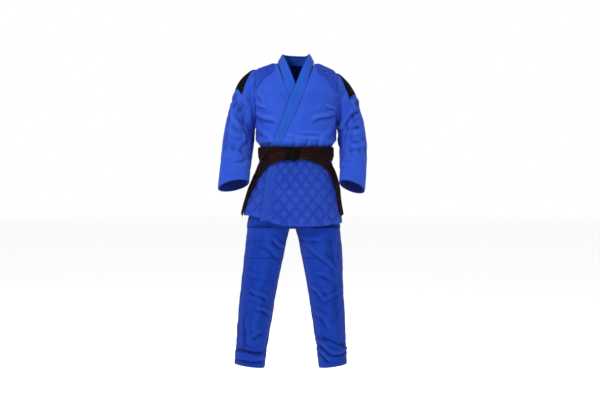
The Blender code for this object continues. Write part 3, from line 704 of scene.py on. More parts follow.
def sew(name, points, maps, facing, closed, thick, material):
    rows, columns = points.shape[0] - 1, points.shape[1] - 1
    bm = bmesh.new()
    bmesh.ops.create_grid(bm, x_segments=columns, y_segments=rows, size=0.5)
    for label in maps:
        bm.loops.layers.uv.new(label)
    layers = [(bm.loops.layers.uv[label], *maps[label]) for label in maps]
    spot = {}
    for vertex in bm.verts:
        spot[vertex.index] = (round((vertex.co.y + 0.5) * rows),
                              round((vertex.co.x + 0.5) * columns))
    for face in bm.faces:
        for loop in face.loops:
            j, i = spot[loop.vert.index]
            for layer, first, second in layers:
                loop[layer].uv = (first[j, i], second[j, i])
    for vertex in bm.verts:
        vertex.co = points[spot[vertex.index]]
    if facing < 0:
        bmesh.ops.reverse_faces(bm, faces=bm.faces)
    if closed:
        bmesh.ops.remove_doubles(bm, verts=bm.verts, dist=1e-5)
    mesh = bpy.data.meshes.new(name)
    bm.to_mesh(mesh)
    bm.free()
    mesh.shade_smooth()
    mesh.materials.append(material)
    obj = bpy.data.objects.new(name, mesh)
    bpy.context.scene.collection.objects.link(obj)
    thicken = obj.modifiers.new("cloth thickness", "SOLIDIFY")
    thicken.thickness = thick
    thicken.offset = 1.0
    return obj


def coordinates(mesh):
    found = np.zeros(len(mesh.vertices) * 3)
    mesh.vertices.foreach_get("co", found)
    return found.reshape(-1, 3)


def spread(mesh, values, rounds, held):
    """Averages rows of three values with the neighbouring points, again and again."""
    edges = np.zeros(len(mesh.edges) * 2, dtype=np.int32)
    mesh.edges.foreach_get("vertices", edges)
    edges = edges.reshape(-1, 2)
    ends, others = np.concatenate([edges, edges[:, ::-1]]).T
    count = np.bincount(ends, minlength=len(values))
    kept = values[held].copy()
    for _ in range(rounds):
        sums = [np.bincount(ends, weights=values[others, k], minlength=len(values))
                for k in range(3)]
        values = np.stack([total / count for total in sums], axis=1)
        values[held] = kept
    return values


def keep_folds(piece, rounds=20, reach=0.0034):
    """Keeps how far each point stands out of the cloth round it: 0.5 is level, 0 is a hollow."""
    mesh = piece.data
    start = coordinates(mesh)
    normals = np.zeros(start.size)
    mesh.vertices.foreach_get("normal", normals)
    sides = np.zeros(len(mesh.loops), dtype=np.int32)
    mesh.loops.foreach_get("edge_index", sides)
    border = np.zeros(len(start), dtype=bool)
    for i in np.flatnonzero(np.bincount(sides, minlength=len(mesh.edges)) == 1):
        border[list(mesh.edges[i].vertices)] = True
    eased = spread(mesh, start, rounds, border)
    stands_out = ((start - eased) * normals.reshape(-1, 3)).sum(axis=1)
    stands_out -= np.median(stands_out)
    fold = mesh.attributes.new("fold", "FLOAT", "POINT")
    fold.data.foreach_set("value", np.clip(0.5 + stands_out / (2 * reach), 0, 1).astype(np.float32))


def declare(piece, nodes):
    """Keeps the piece's folds and hides the model's parts that it stands for."""
    keep_folds(piece)
    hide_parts(*nodes)
    return piece


# %% [markdown]
# ## Letting cloth settle
# A tube of cloth that is cut longer and wider than the limb inside it can't lie smooth: it
# buckles and sinks until it rests. Blender's Cloth modifier does the same. The folded shape is
# the start, a second shape key holds the longer cut and is the cloth's rest length, the ends are
# pinned to their seams, and a smooth form stands in for the limb. Only the wrinkles of the
# result are kept: the movement is capped, its broad part is taken away, because it would narrow
# the tube and pull it off its seams, and the rest is made a little deeper and written into the
# mesh. Pieces sewn on top are carried along with the cloth nearest to them.

# %% The settling
SETTLING_FRAMES = 22
PINNED_WITHIN = 0.012      # cloth this near to a seam or a doubled part stays in place
FREED_OVER = 0.050         # and over this much more it is let go
FINE_ROUNDS, BROAD_ROUNDS = 5, 90
WRINKLE_DEPTH = 1.3


def settle(piece, form, seams, doubled, longer, wider, cap, followers=()):
    """The cloth is held near the points of its seams and under the pieces that double it."""
    start = coordinates(piece.data)
    thick = piece.modifiers["cloth thickness"]
    thick.show_viewport = False
    group = piece.vertex_groups.new(name="seams")
    held = KDTree(len(seams) + sum(len(other.data.vertices) for other in doubled))
    for i, point in enumerate([*seams, *(v.co for other in doubled for v in other.data.vertices)]):
        held.insert(point, i)
    held.balance()
    away = np.array([held.find(point)[2] for point in start])
    pinned = np.flatnonzero(away < PINNED_WITHIN)
    group.add([int(i) for i in pinned], 1.0, "REPLACE")
    piece.shape_key_add(name="as placed")
    cut = piece.shape_key_add(name="as cut")
    high = start[:, 2].max()
    middle = start.mean(axis=0)
    longer_cut = start.copy()
    longer_cut[:, 2] = high + (start[:, 2] - high) * longer
    longer_cut[:, :2] = middle[:2] + (start[:, :2] - middle[:2]) * wider
    cut.data.foreach_set("co", longer_cut.ravel())
    form.modifiers.new("limb", "COLLISION")
    form.collision.thickness_outer = 0.002
    form.collision.cloth_friction = 8
    cloth = piece.modifiers.new("settling", "CLOTH")
    values = cloth.settings
    values.quality = 6
    values.mass = 0.06
    values.air_damping = 2.0
    values.tension_stiffness = 25
    values.compression_stiffness = 25
    values.shear_stiffness = 8
    values.bending_stiffness = 8
    values.vertex_group_mass = "seams"
    values.rest_shape_key = cut
    cloth.collision_settings.distance_min = 0.002
    cloth.point_cache.frame_start = 1
    cloth.point_cache.frame_end = SETTLING_FRAMES
    scene = bpy.context.scene
    for frame_number in range(1, SETTLING_FRAMES + 1):
        scene.frame_set(frame_number)
    graph = bpy.context.evaluated_depsgraph_get()
    settled_mesh = piece.evaluated_get(graph).to_mesh()
    moved = coordinates(settled_mesh) - start
    piece.evaluated_get(graph).to_mesh_clear()
    scene.frame_set(1)
    piece.modifiers.remove(cloth)
    piece.shape_key_clear()
    piece.vertex_groups.clear()
    thick.show_viewport = True
    bpy.data.objects.remove(form)
    size = np.maximum(np.linalg.norm(moved, axis=1, keepdims=True), 1e-9)
    freed = np.clip((away - PINNED_WITHIN) / FREED_OVER, 0, 1)
    moved *= np.minimum(1.0, cap / size) * freed[:, None]
    fine = spread(piece.data, moved, FINE_ROUNDS, pinned)
    moved = WRINKLE_DEPTH * (fine - spread(piece.data, moved, BROAD_ROUNDS, pinned))
    piece.data.vertices.foreach_set("co", (start + moved).ravel())
    piece.data.update()
    print(piece.name, "settled by up to", round(float(size.max()) * 1000, 1), "mm, by",
          round(float(size.mean()) * 1000, 1), "on average, and kept to", cap * 1000)
    tree = KDTree(len(start))
    for i, point in enumerate(start):
        tree.insert(point, i)
    tree.balance()
    for follower in followers:
        carried = coordinates(follower.data)
        for i, point in enumerate(carried):
            near = tree.find_n(point, 4)
            shares = np.array([1 / (far + 1e-4) for _, _, far in near])
            shift = sum(share * moved[k] for share, (_, k, _) in zip(shares / shares.sum(), near))
            carried[i] += shift
        follower.data.vertices.foreach_set("co", carried.ravel())
        follower.data.update()


# %% [markdown]
# ## Folds
# A fold is a ridge with a hollow beside it that fades at both ends. Where the cloth is held,
# folds start: they run from the armhole across the chest, up from the belt, round the elbow and
# across the knee. Each is given by its two ends in the front view, and it lies on the front or
# on the back. Weak, wide waves under them keep the cloth from looking ironed.

# %% Pressing folds
def fold_relief(folds, waves=0.0015, wave_size=9.0, seed=0.0):
    """folds are (x, z, x, z, width, height, side): side -1 is the front and 1 the back."""
    folds = [(Vector((a, b)), Vector((c, d)), w, h, s) for a, b, c, d, w, h, s in folds]

    def relief(point, u, v):
        flat = Vector((point[0], point[2]))
        total = waves * noise.noise(Vector((point[0], point[1] + seed, point[2] * 0.6)) * wave_size)
        for start, end, width, height, side in folds:
            if side * point[1] < -0.012:
                continue
            run = end - start
            share = (flat - start).dot(run) / run.length_squared
            if not -0.15 < share < 1.15:
                continue
            off = (flat - start).cross(run) / run.length
            off += 0.35 * width * sin(share * 7 + seed + start.x * 40)
            if abs(off) > 5 * width:
                continue
            fade = smooth((share + 0.15) / 0.35) * smooth((1.15 - share) / 0.4)
            turn_in = smooth((side * point[1] + 0.012) / 0.035)
            ridge = bump(off, width) - 0.75 * bump(off - 1.7 * width, width * 0.9)
            total += height * fade * turn_in * ridge
        return total

    return relief


# %% [markdown]
# ## The jacket's fronts and backs
# A judo jacket has two fronts that cross, the left over the right, and two backs with a seam
# down the middle. Each front runs from the lapel's seam to the side seam, and over the top of
# the shoulder to the back. All four take the same folds, so the seams between them stay closed.

# %% Places on the jacket's body
SHOULDER_SPAN = 0.200      # cloth from the chest's height over to the shoulder line


def seam_over_shoulder(rise, out):
    """Where the lapel's seam is at this rise over the shoulder, as (x, z)."""
    x = NECK_HALF
    for _ in range(12):
        x = lapel_x(CHEST + (shoulder_line(x) - CHEST) * sin(radians(rise)), 0)
    return x, CHEST + (shoulder_line(x) + out - CHEST) * sin(radians(rise))


def front_place(side, out, low, high):
    """A front between two heights; above the chest it follows the shoulder's round."""
    span = (min(high, CHEST) - low) + (SHOULDER_SPAN if high > CHEST else 0.0)

    def place(u, v):
        z = low + v * span
        if z <= CHEST + 1e-9:
            inner = turn_for_x(lapel_x(z, 0), z, out)
            turn = mix(inner, -armhole_turn(z), u)
            return settled(mirrored(side, body_point(turn, z, over_out(turn, out)), z))
        rise = (z - CHEST) / SHOULDER_SPAN * TOP
        inner = turn_for_x(seam_over_shoulder(rise, out)[0], CHEST, out)
        turn = mix(inner, -armhole_turn(CHEST), u)
        return settled(mirrored(side, shoulder_point(turn, rise, over_out(turn, out)), CHEST))

    return place


def upper_back(turn, rise):
    """Over the shoulder, or up to the collar's foot where the neck is."""
    base = body_point(turn, CHEST)
    if abs(base.x) >= NECK_HALF or base.y <= 0:
        return shoulder_point(turn, rise)
    share = sqrt(1 - (base.x / NECK_HALF) ** 2)
    hole = (NECK_BACK - 0.002) * share
    top = mix(shoulder_line(base.x), 0.010, share)
    angle = radians(rise)
    y = hole + (base.y - hole) * cos(angle)
    return Vector((base.x, y, CHEST + (top - CHEST) * sin(angle)))


def back_place(side, low, high):
    span = (min(high, CHEST) - low) + (SHOULDER_SPAN if high > CHEST else 0.0)

    def place(u, v):
        z = low + v * span
        edge = armhole_turn(min(z, CHEST))
        turn = mix(90.0, edge, u)
        turn = turn if side > 0 else 180 - turn
        if z <= CHEST + 1e-9:
            return settled(body_point(turn, z))
        return settled(upper_back(turn, (z - CHEST) / SHOULDER_SPAN * TOP))

    return place


# %% The folds of the upper jacket
JACKET_FOLDS = [
    (-0.186, -0.175, -0.135, -0.205, 0.007, 0.0045, -1),
    (-0.182, -0.228, -0.090, -0.262, 0.010, 0.0060, -1),
    (-0.186, -0.262, -0.120, -0.345, 0.013, 0.0050, -1),
    (-0.172, -0.120, -0.150, -0.170, 0.007, 0.0030, -1),
    (0.072, -0.258, 0.176, -0.220, 0.009, 0.0065, -1),
    (0.140, -0.194, 0.186, -0.206, 0.006, 0.0050, -1),
    (0.120, -0.345, 0.182, -0.255, 0.013, 0.0050, -1),
    (-0.060, -0.330, 0.130, -0.346, 0.007, 0.0032, -1),
    (0.000, -0.312, 0.120, -0.322, 0.007, 0.0024, -1),
    (-0.150, -0.350, -0.070, -0.362, 0.007, 0.0028, -1),
    (0.004, -0.335, 0.001, -0.392, 0.006, 0.0040, -1),
    (0.062, -0.340, 0.058, -0.392, 0.007, 0.0030, -1),
    (-0.118, -0.335, -0.104, -0.392, 0.007, 0.0034, -1),
    (0.120, -0.338, 0.108, -0.392, 0.007, 0.0034, -1),
    (-0.184, -0.200, -0.070, -0.320, 0.014, 0.0070, 1),
    (0.184, -0.190, 0.060, -0.330, 0.014, 0.0070, 1),
    (-0.180, -0.262, -0.110, -0.372, 0.010, 0.0050, 1),
    (0.180, -0.262, 0.118, -0.372, 0.010, 0.0050, 1),
    (-0.120, -0.060, 0.110, -0.075, 0.014, 0.0045, 1),
    (-0.050, -0.290, -0.040, -0.392, 0.008, 0.0050, 1),
    (0.020, -0.270, 0.016, -0.392, 0.009, 0.0055, 1),
    (0.085, -0.300, 0.070, -0.392, 0.008, 0.0050, 1),
    (-0.120, -0.300, -0.105, -0.392, 0.008, 0.0045, 1),
]
pressed = fold_relief(JACKET_FOLDS, 0.0022, 10.0, 3.0)


def jacket_relief(point, u, v):
    """The folds, and small puckers where the sleeve is sewn in."""
    near = bump(abs(point[0]) - 0.186, 0.016) * smooth((-0.055 - point[2]) / 0.04)
    pucker = noise.noise(Vector((9.0, point[1] * 40, point[2] * 40)))
    return pressed(point, u, v) + 0.0050 * near * pucker


UPPER = (WAIST_SEAM, 0.0)
for side, label, out in ((1, "left", OVER), (-1, "right", 0.0)):
    front = cut_piece(f"front_{label}", 72, 112, front_place(side, out, *UPPER), CLOTH,
                      jacket_cloth, seams="lrbt", relief=jacket_relief)
    back = cut_piece(f"back_{label}", 58, 112, back_place(side, *UPPER), CLOTH, jacket_cloth,
                     seams="lrbt", relief=jacket_relief)
    for piece, cad in ((front, "front_panel"), (back, "back_panel")):
        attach(piece, "jacket")
        declare(piece, [f"{cad}_{label}"])

# %% [markdown]
# ## The quilted skirt
# Below the belt the jacket is sewn from two layers with wadding between them, and a lattice of
# stitched diamonds holds them together. Each diamond swells a little, so the lattice lines are
# valleys. The front pieces cross as the fronts do, and the sides are open.

# %% Quilting relief and the skirt's pieces
DIAMOND_WIDE = 0.057
DIAMOND_HIGH = 0.066
VENT = 0.6                 # degrees from the side to the edge of the slit


def lattice(point):
    """Shares of a diamond along both of its directions, measured round the body."""
    around = 0.175 * float(np.arctan2(point[0], abs(point[1])))
    wide, high = around / DIAMOND_WIDE, point[2] / DIAMOND_HIGH
    return wide + high, wide - high


def quilting(point, u, v):
    """Puffed diamonds between sewn lines, on slow waves towards the hem."""
    a, b = lattice(point)
    puff = min(abs(sin(pi * a)), abs(sin(pi * b)))
    wave = 0.006 * noise.noise(Vector((point[0] * 9, point[1] * 9, point[2] * 5 + 7)))
    flare = smooth((-0.52 - point[2]) / 0.25)
    return 0.0052 * puff**0.55 - 0.0036 + wave * flare


def hem_height(x):
    """The hem hangs lowest in the middle and rises to the side slits."""
    right = 0.050 * smooth((-x - 0.03) / 0.20)
    return JACKET_HEM - 0.006 + right + 0.014 * smooth((x - 0.10) / 0.12)


def skirt_front(side, out):
    def place(u, v):
        z = mix(JACKET_HEM, WAIST_SEAM, v)
        inner = turn_for_x(lapel_x(z, 0), z, out)
        turn = mix(inner, -VENT, u)
        point = mirrored(side, body_point(turn, z, over_out(turn, out)), z)
        point.z += (hem_height(point.x) - JACKET_HEM) * (1 - v) ** 1.5
        return settled(point)

    return place


def skirt_back(side):
    def place(u, v):
        z = mix(JACKET_HEM, WAIST_SEAM - 0.002, v)
        turn = mix(90.0, VENT, u)
        point = body_point(turn if side > 0 else 180 - turn, z)
        point.z += (hem_height(point.x) - JACKET_HEM) * (1 - v) ** 1.5
        return settled(point)

    return place


for side, label, out in ((1, "left", OVER), (-1, "right", 0.0)):
    piece = cut_piece(f"skirt_front_{label}_quilt", 92, 104, skirt_front(side, out), CLOTH,
                      skirt_cloth, seams="rb", relief=quilting, third_map=lattice)
    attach(piece, "jacket")
    declare(piece, [f"skirt_front_{label}"])
    piece = cut_piece(f"skirt_back_{label}_quilt", 72, 104, skirt_back(side), CLOTH, skirt_cloth,
                      seams="lrb", relief=quilting, third_map=lattice)
    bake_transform(piece)
    declare(piece, [f"skirt_back_{label}"])

# %% [markdown]
# ## The collar band
# One long band finishes the fronts and the neck. It is several layers thick, stitched along its
# length, and it stands up behind the neck. It is made as one strip from the left hem, over the
# shoulder, round the neck and down to the right hem.

# %% The band's path
def neck_curve(s):
    angle = s * pi
    return Vector((NECK_HALF * cos(angle), NECK_BACK * sin(angle), 0.008 - 0.004 * sin(angle)))


def stand_up(s):
    lean = Vector((-0.020 * cos(s * pi), -0.014 * sin(s * pi), 0.037))
    return lean.normalized() * LAPEL_WIDTH


def collar_foot(s):
    return Vector((-0.0052 * cos(s * pi), -0.0052 * sin(s * pi), 0.0030))


def chest_point(x, z, out):
    if z <= CHEST:
        return body_point(turn_for_x(x, z, out), z, out)
    base = body_point(turn_for_x(x, CHEST, out), CHEST, out)
    share = clamp01((z - CHEST) / (shoulder_line(x) + out - CHEST))
    return Vector((x, base.y * sqrt(1 - share * share), z))


def lapel_point(side, z, seam_x, edge, out):
    raised = smooth((z + 0.150) / 0.150)
    seam = chest_point(seam_x, z, out)
    foot = collar_foot(0.0) * smooth((z + 0.120) / 0.080)
    flat = chest_point(seam_x - lapel_x(z, 0) + lapel_x(z, edge), z, out)
    point = flat.lerp(seam + stand_up(0.0) * edge, raised) + foot
    return mirrored(side, point, point.z)


LAPEL_LENGTH = CHEST - JACKET_HEM + SHOULDER_SPAN
NECK_LENGTH = 0.250
BAND_LENGTH = 2 * LAPEL_LENGTH + NECK_LENGTH


def band_place(u, v):
    """u runs over the band's width from its seam, v from the left hem to the right one."""
    along = v * BAND_LENGTH
    for side, out, run in ((1, OVER, along), (-1, 0.0, BAND_LENGTH - along)):
        if run <= LAPEL_LENGTH:
            low = hem_height(side * lapel_x(JACKET_HEM, 0))
            z = low + run * (CHEST - low) / (CHEST - JACKET_HEM)
            if z <= CHEST:
                return settled(lapel_point(side, z, lapel_x(z, 0), u, out))
            rise = (z - CHEST) / SHOULDER_SPAN * TOP
            x, high = seam_over_shoulder(rise, out)
            return settled(lapel_point(side, high, x, u, out))
    s = (along - LAPEL_LENGTH) / NECK_LENGTH
    lift = OVER * (1 - smooth(s / 0.25))
    point = neck_curve(s) + collar_foot(s) + stand_up(s) * u
    return settled(point + Vector((0, 0, lift)))


BAND_ROWS = (0.20, 0.36, 0.52, 0.68, 0.84)


def band_relief(point, u, v):
    """Rounded edges and sewn rows along the band."""
    rounded = -0.0022 * (abs(2 * u - 1) ** 10)
    rows = sum(bump(u - row, 0.030) for row in BAND_ROWS)
    ripple = 0.0006 * noise.noise(Vector((u * 3, v * 60, 0.5)))
    return rounded - 0.0007 * rows + ripple


collar = cut_piece("collar_band", 26, 460, band_place, LAPEL_THICK, lapel_cloth, seams="lr",
                   relief=band_relief, groove=0.0010)
lower_band_cloth = cloth_material("lapel band below the belt", (0.018, 0.066, 0.480),
                                  (0.007, 0.032, 0.290), (0.040, 0.112, 0.590), TWILL_RIBS,
                                  {"Rib": 0.0022}, 0.0006, (0.0055, 0.0135))
collar.data.materials.append(lower_band_cloth)
for polygon in collar.data.polygons:
    polygon.material_index = int(polygon.center.z < BELT_TOP - BELT_WIDTH / 2)
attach(collar, "jacket")
declare(collar, ["lapel_left", "lapel_right", "collar_back"])

# %% [markdown]
# ## The ruched yokes
# A second layer strengthens each shoulder. It was cut too long and gathered as it was sewn, so
# it stands in small scallops across the shoulder.

# %% The yokes
YOKE_INNER = 0.100


def yoke_edge(x, back):
    t = clamp01((abs(x) - YOKE_INNER) / 0.080)
    scallops = 0.0045 * sin(2 * pi * 3.6 * t) * (1 - t)
    return mix(-0.040, -0.118 if not back else -0.135, t**1.6) + scallops


def yoke_place(side, out):
    def place(u, v):
        x = mix(YOKE_INNER - 0.006, ARMHOLE_X - 0.001, u)
        lift = over_out(turn_for_x(x, CHEST), out) + mix(0.0008, CLOTH + 0.0012, smooth(u / 0.18))
        turn = turn_for_x(x, CHEST, lift)
        top = shoulder_line(x) + lift - CHEST
        front = degrees_of(acos(sqrt(1 - ((yoke_edge(x, False) - CHEST) / top) ** 2)))
        reach = (yoke_edge(x, True) - CHEST) / top
        back = degrees_of(acos(sqrt(1 - reach * reach))) * (1 if reach > 0 else -1)
        point = shoulder_point(turn, mix(front, 180 - back, v), lift)
        point.x *= side
        return settled(point)

    return place


def ruching(point, u, v):
    """Scallops: short waves along the shoulder that wander and break up."""
    wander = noise.noise(Vector((u * 4.0, v * 5.0, 2.0)))
    waves = sin(2 * pi * (v * 11 + 0.9 * wander + 0.4 * sin(u * 9)))
    broken = 0.55 + 0.45 * noise.noise(Vector((u * 9.0, v * 22.0, 5.0)))
    edges = smooth(u / 0.12) * smooth((1 - u) / 0.12) * smooth(v / 0.08) * smooth((1 - v) / 0.08)
    return edges * (0.0034 * waves * broken + 0.0014 * abs(wander)) + 0.0010


yoke_cloth = cloth_material("yoke cloth", (0.014, 0.056, 0.500), (0.004, 0.022, 0.260),
                            (0.036, 0.108, 0.620), RICE, RICE_SIZES, 0.0008,
                            (0.003, 0.0005), painted_fold_shade_strength=2.4)
for side, label, out in ((1, "left", OVER), (-1, "right", 0.0)):
    piece = cut_piece(f"yoke_{label}", 50, 150, yoke_place(side, out), CLOTH * 0.7, yoke_cloth,
                      core=one_way(0, 0, 1), seams="lrbt", relief=ruching)
    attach(piece, "jacket")
    declare(piece, [f"shoulder_yoke_{label}"])

# %% [markdown]
# ## Sleeves, cuffs and shoulder strips
# A sleeve is one tube with its seam underneath. It is cut wide and a little long, so that long
# folds run from the outside of the shoulder to the inside of the elbow. Inside the cuff the
# hem is doubled. A black woven strip is sewn over the outside of each shoulder.

# %% A sleeve's shape
def sleeve_point(side, t, angle, inset=0.0):
    """t is 0 at the armhole and 1 at the cuff; angle 0 is the outer edge."""
    shape = SLEEVES[side]
    outer, inner = cubic(shape["outer"], t), cubic(shape["inner"], t)
    share = mix(0.36, 0.5, smooth(t / 0.35))
    centre = outer.lerp(inner, share)
    reach = (outer - centre) if cos(angle) >= 0 else (centre - inner)
    along = reach * (1 - inset / max(reach.length, 1e-6)) * cos(angle)
    armhole = abs(body_point(-armhole_turn(CHEST), CHEST).y)
    depth = mix(mix(armhole, 0.088, smooth(t / 0.45)), 0.062, smooth((t - 0.45) / 0.55)) - inset
    y = depth * sin(angle)
    forward = mix(0.0, 0.012, smooth(t / 0.4)) + mix(0.0, -0.140, smooth((t - 0.35) / 0.72))
    tilt = -0.38 * smooth((t - 0.45) / 0.55)
    puffed = 1 - smooth(t / 0.16)
    grow = 1 + 0.098 * puffed * (1 if cos(angle) > 0 else 0.4)
    x = centre.x + along.x - copysign(0.004, centre.x) * (1 - smooth(t / 0.06))
    high = centre.y + along.y * grow + tilt * y
    return settled(Vector((x, forward + y * (1 + 0.06 * puffed), high)))


SLEEVE_FOLDS = {
    "right": [
        (-0.292, -0.120, -0.268, -0.235, 0.013, -0.0130, -1),
        (-0.272, -0.215, -0.206, -0.345, 0.015, -0.0150, -1),
        (-0.232, -0.160, -0.212, -0.260, 0.011, 0.0050, -1),
        (-0.214, -0.330, -0.250, -0.400, 0.011, -0.0060, -1),
        (-0.318, -0.300, -0.240, -0.345, 0.012, 0.0040, -1),
        (-0.210, -0.450, -0.300, -0.500, 0.012, 0.0040, -1),
        (-0.300, -0.140, -0.220, -0.300, 0.014, 0.0070, 1),
        (-0.320, -0.260, -0.215, -0.350, 0.012, 0.0070, 1),
        (-0.325, -0.340, -0.220, -0.390, 0.012, 0.0050, 1),
        (-0.240, -0.080, -0.215, -0.200, 0.012, 0.0050, 1),
        (-0.330, -0.430, -0.240, -0.480, 0.014, 0.0040, 1),
    ],
    "left": [
        (0.292, -0.165, 0.287, -0.232, 0.012, -0.0125, -1),
        (0.290, -0.215, 0.206, -0.325, 0.013, -0.0145, -1),
        (0.250, -0.285, 0.203, -0.400, 0.013, -0.0125, -1),
        (0.236, -0.110, 0.222, -0.240, 0.012, 0.0050, -1),
        (0.322, -0.290, 0.262, -0.330, 0.012, 0.0070, -1),
        (0.318, -0.370, 0.250, -0.390, 0.012, 0.0055, -1),
        (0.205, -0.470, 0.290, -0.500, 0.012, 0.0040, -1),
        (0.300, -0.150, 0.225, -0.300, 0.014, 0.0070, 1),
        (0.325, -0.270, 0.215, -0.350, 0.012, 0.0070, 1),
        (0.318, -0.350, 0.220, -0.400, 0.012, 0.0050, 1),
        (0.240, -0.080, 0.215, -0.200, 0.012, 0.0050, 1),
        (0.300, -0.430, 0.230, -0.490, 0.014, 0.0040, 1),
    ],
}


def sleeve_place(side, start, end, inset):
    sign = SLEEVES[side]["sign"]

    def place(u, v):
        return sleeve_point(side, mix(start, end, v), pi + sign * 2 * pi * u, inset)

    return place


CUFF_FROM, CUFF_TO = 0.872, 0.997
STRIP_TO = 0.385           # share of the sleeve's length that the strip reaches
for side in SLEEVES:
    sign = SLEEVES[side]["sign"]
    folds = fold_relief(SLEEVE_FOLDS[side], 0.0035, 8.0, 11.0 * sign)

    def relief(point, u, v, folds=folds):
        gathered = noise.noise(Vector((point[1] * 34, point[2] * 34, v * 9)))
        gathered *= 0.0060 * smooth(v / 0.012) * (1 - smooth(v / 0.13))
        below_strip = smooth((-0.100 - point[2]) / 0.06)
        return (folds(point, u, v) * below_strip * smooth((0.90 - v) / 0.06)
                + gathered * (1 - bump(point[1] - 0.002, 0.045))
                - 0.0045 * (1 - smooth(v / 0.045)) * smooth((-0.06 - point[2]) / 0.05))

    sleeve = cut_piece(f"sleeve_{side}_tube", 110, 150, sleeve_place(side, 0.0, 1.0, CLOTH),
                       CLOTH, sleeve_cloth, core=own_middle, seams="lrbt", closed=True,
                       relief=relief)
    facing = cut_piece(f"cuff_{side}_facing", 80, 14,
                       sleeve_place(side, CUFF_FROM, CUFF_TO, 2 * CLOTH + 0.001), CLOTH * 0.8,
                       shaded_facing_cloth, core=own_middle, seams="bt", closed=True)
    arm = cut_piece(f"arm_{side}", 32, 40, sleeve_place(side, 0.02, 1.0, 0.016), CLOTH,
                    jacket_cloth, core=own_middle, seams="", closed=True)

    def strip_place(u, v, side=side, sign=sign):
        back_edge, front_edge = mix(42, 6, v), -8 - 52 * (1 - (1 - v) ** 2)
        t = mix(0.004, STRIP_TO, v) - 0.085 * v * u
        return sleeve_point(side, t, radians(mix(back_edge, front_edge, u)), -0.0004)

    strip = cut_piece(f"shoulder_strip_{side}_tape", 30, 60, strip_place, 0.0018, black_tape,
                      core=(sign * 0.19, 0.0), seams="lrbt", groove=0.0006,
                      relief=lambda p, u, v: 0.0008 + max(0.0, relief(p, u, v * 0.3)))
    seams = [sleeve_point(side, t, angle) for t in (0.0, 0.99)
             for angle in np.linspace(0, 2 * pi, 60)]
    settle(sleeve, arm, seams, [strip, facing], 1.05, 1.03, 0.014)
    for piece, cads, slot in ((sleeve, [f"sleeve_{side}"], "jacket_weave"),
                              (facing, [f"cuff_facing_{side}"], "jacket_weave"),
                              (strip, [f"shoulder_strip_{side}"], "black_strip")):
        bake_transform(piece)
        declare(piece, cads)

# %% [markdown]
# ## The belt
# The belt is a long cotton tape that goes twice round the waist over everything else. Its rows
# of stitching run its whole length. It is pinched where it enters the knot, and the outer turn
# never lies quite on the inner one.

# %% The two turns
BELT_OUT = OVER + LAPEL_THICK + 0.001
BELT_BACK = CLOTH + 0.0018
BELT_ROWS = (0.10, 0.23, 0.36, 0.5, 0.64, 0.77, 0.90)


def belt_lift(turn):
    from_front = abs((turn + 90 + 180) % 360 - 180)
    return mix(BELT_OUT, BELT_BACK, smooth((from_front - 50) / 50))


def belt_place(out, raise_by, pinch):
    def place(u, v):
        turn = -270 + 360 * u
        from_knot = abs((turn + 90 + 180) % 360 - 180)
        narrow = 1 - pinch * (1 - smooth(from_knot / 30))
        sideways = smooth((from_knot - 12) / 60)
        middle = BELT_TOP - BELT_WIDTH / 2 + mix(0.0, raise_by, sideways)
        middle += 0.0012 * sin(radians(turn * 3) + raise_by * 300)
        point = body_point(turn, BELT_TOP, out + belt_lift(turn))
        point.z = middle + (v - 0.5) * BELT_WIDTH * narrow
        return point

    return place


def belt_relief(amount, seed):
    """Rounded edges, sewn rows and the creases that a tied belt takes near its knot."""
    def relief(point, u, v):
        rounded = -0.0016 * abs(2 * v - 1) ** 8
        rows = sum(bump(v - row, 0.022) for row in BELT_ROWS)
        near = 0.35 + bump(point[0], 0.11) * (1.0 if point[1] < 0 else 0.2)
        crease = noise.noise(Vector((point[0] * 16 + seed, v * 2.2 + point[0] * 18, seed)))
        slack = noise.noise(Vector((u * 9 + seed, v * 0.8, 1.7)))
        return rounded - 0.0005 * rows + amount * near * (1 - abs(crease) * 2.2) + 0.0012 * slack

    return relief


for name, out, raised, pinch, cad in (
        ("belt_inner", 0.0, -0.0150, 0.10, "belt_inner_turn"),
        ("belt_outer", BELT_THICK + 0.0005, 0.0010, 0.16, "belt_outer_turn")):
    turn = cut_piece(name, 240, 26, belt_place(out, raised, pinch), BELT_THICK, belt_cloth,
                     seams="", closed=True, relief=belt_relief(0.0022, out * 900))
    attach(turn, "jacket")
    declare(turn, [cad])


# %% [markdown]
# ## The knot and the two ends
# The knot is flat: one end goes over both turns and under them, the other crosses it, so the
# knot shows a short wrap in the middle and a loop to each side. Tape bends one way only, so
# each part is a tape laid along a path, with its own width and the direction it faces.

# %% Tape along a path
def along_path(stations, t):
    """A smooth curve through rows of numbers (Catmull-Rom)."""
    spot = clamp01(t) * (len(stations) - 1)
    i = min(int(spot), len(stations) - 2)
    u = spot - i
    last = len(stations) - 1
    p0, p1, p2, p3 = (np.array(stations[max(0, min(last, j))], float)
                      for j in (i - 1, i, i + 1, i + 2))
    return 0.5 * (2 * p1 + (p2 - p0) * u + (2 * p0 - 5 * p1 + 4 * p2 - p3) * u * u
                  + (3 * p1 - p0 - 3 * p2 + p3) * u**3)


def tape_place(stations, crown=0.0):
    """stations are (x, y, z, across x, across y, across z, width)."""
    def place(u, v):
        row = along_path(stations, v)
        middle, across = Vector(row[:3]), Vector(row[3:6]).normalized()
        behind, ahead = along_path(stations, v - 0.02), along_path(stations, v + 0.02)
        run = Vector(ahead[:3] - behind[:3])
        face = run.cross(across).normalized()
        side = 2 * u - 1
        return middle + across * side * row[6] / 2 + face * crown * (1 - side * side)

    return place


def tape_relief(seed, creases=0.0012):
    def relief(point, u, v):
        rounded = -0.0014 * abs(2 * u - 1) ** 8
        rows = sum(bump(u - row, 0.022) for row in BELT_ROWS)
        crease = noise.noise(Vector((u * 2.5 + seed, v * 5.0 + u * 3, seed)))
        return rounded - 0.0005 * rows + creases * (1 - abs(crease) * 2.4)

    return relief


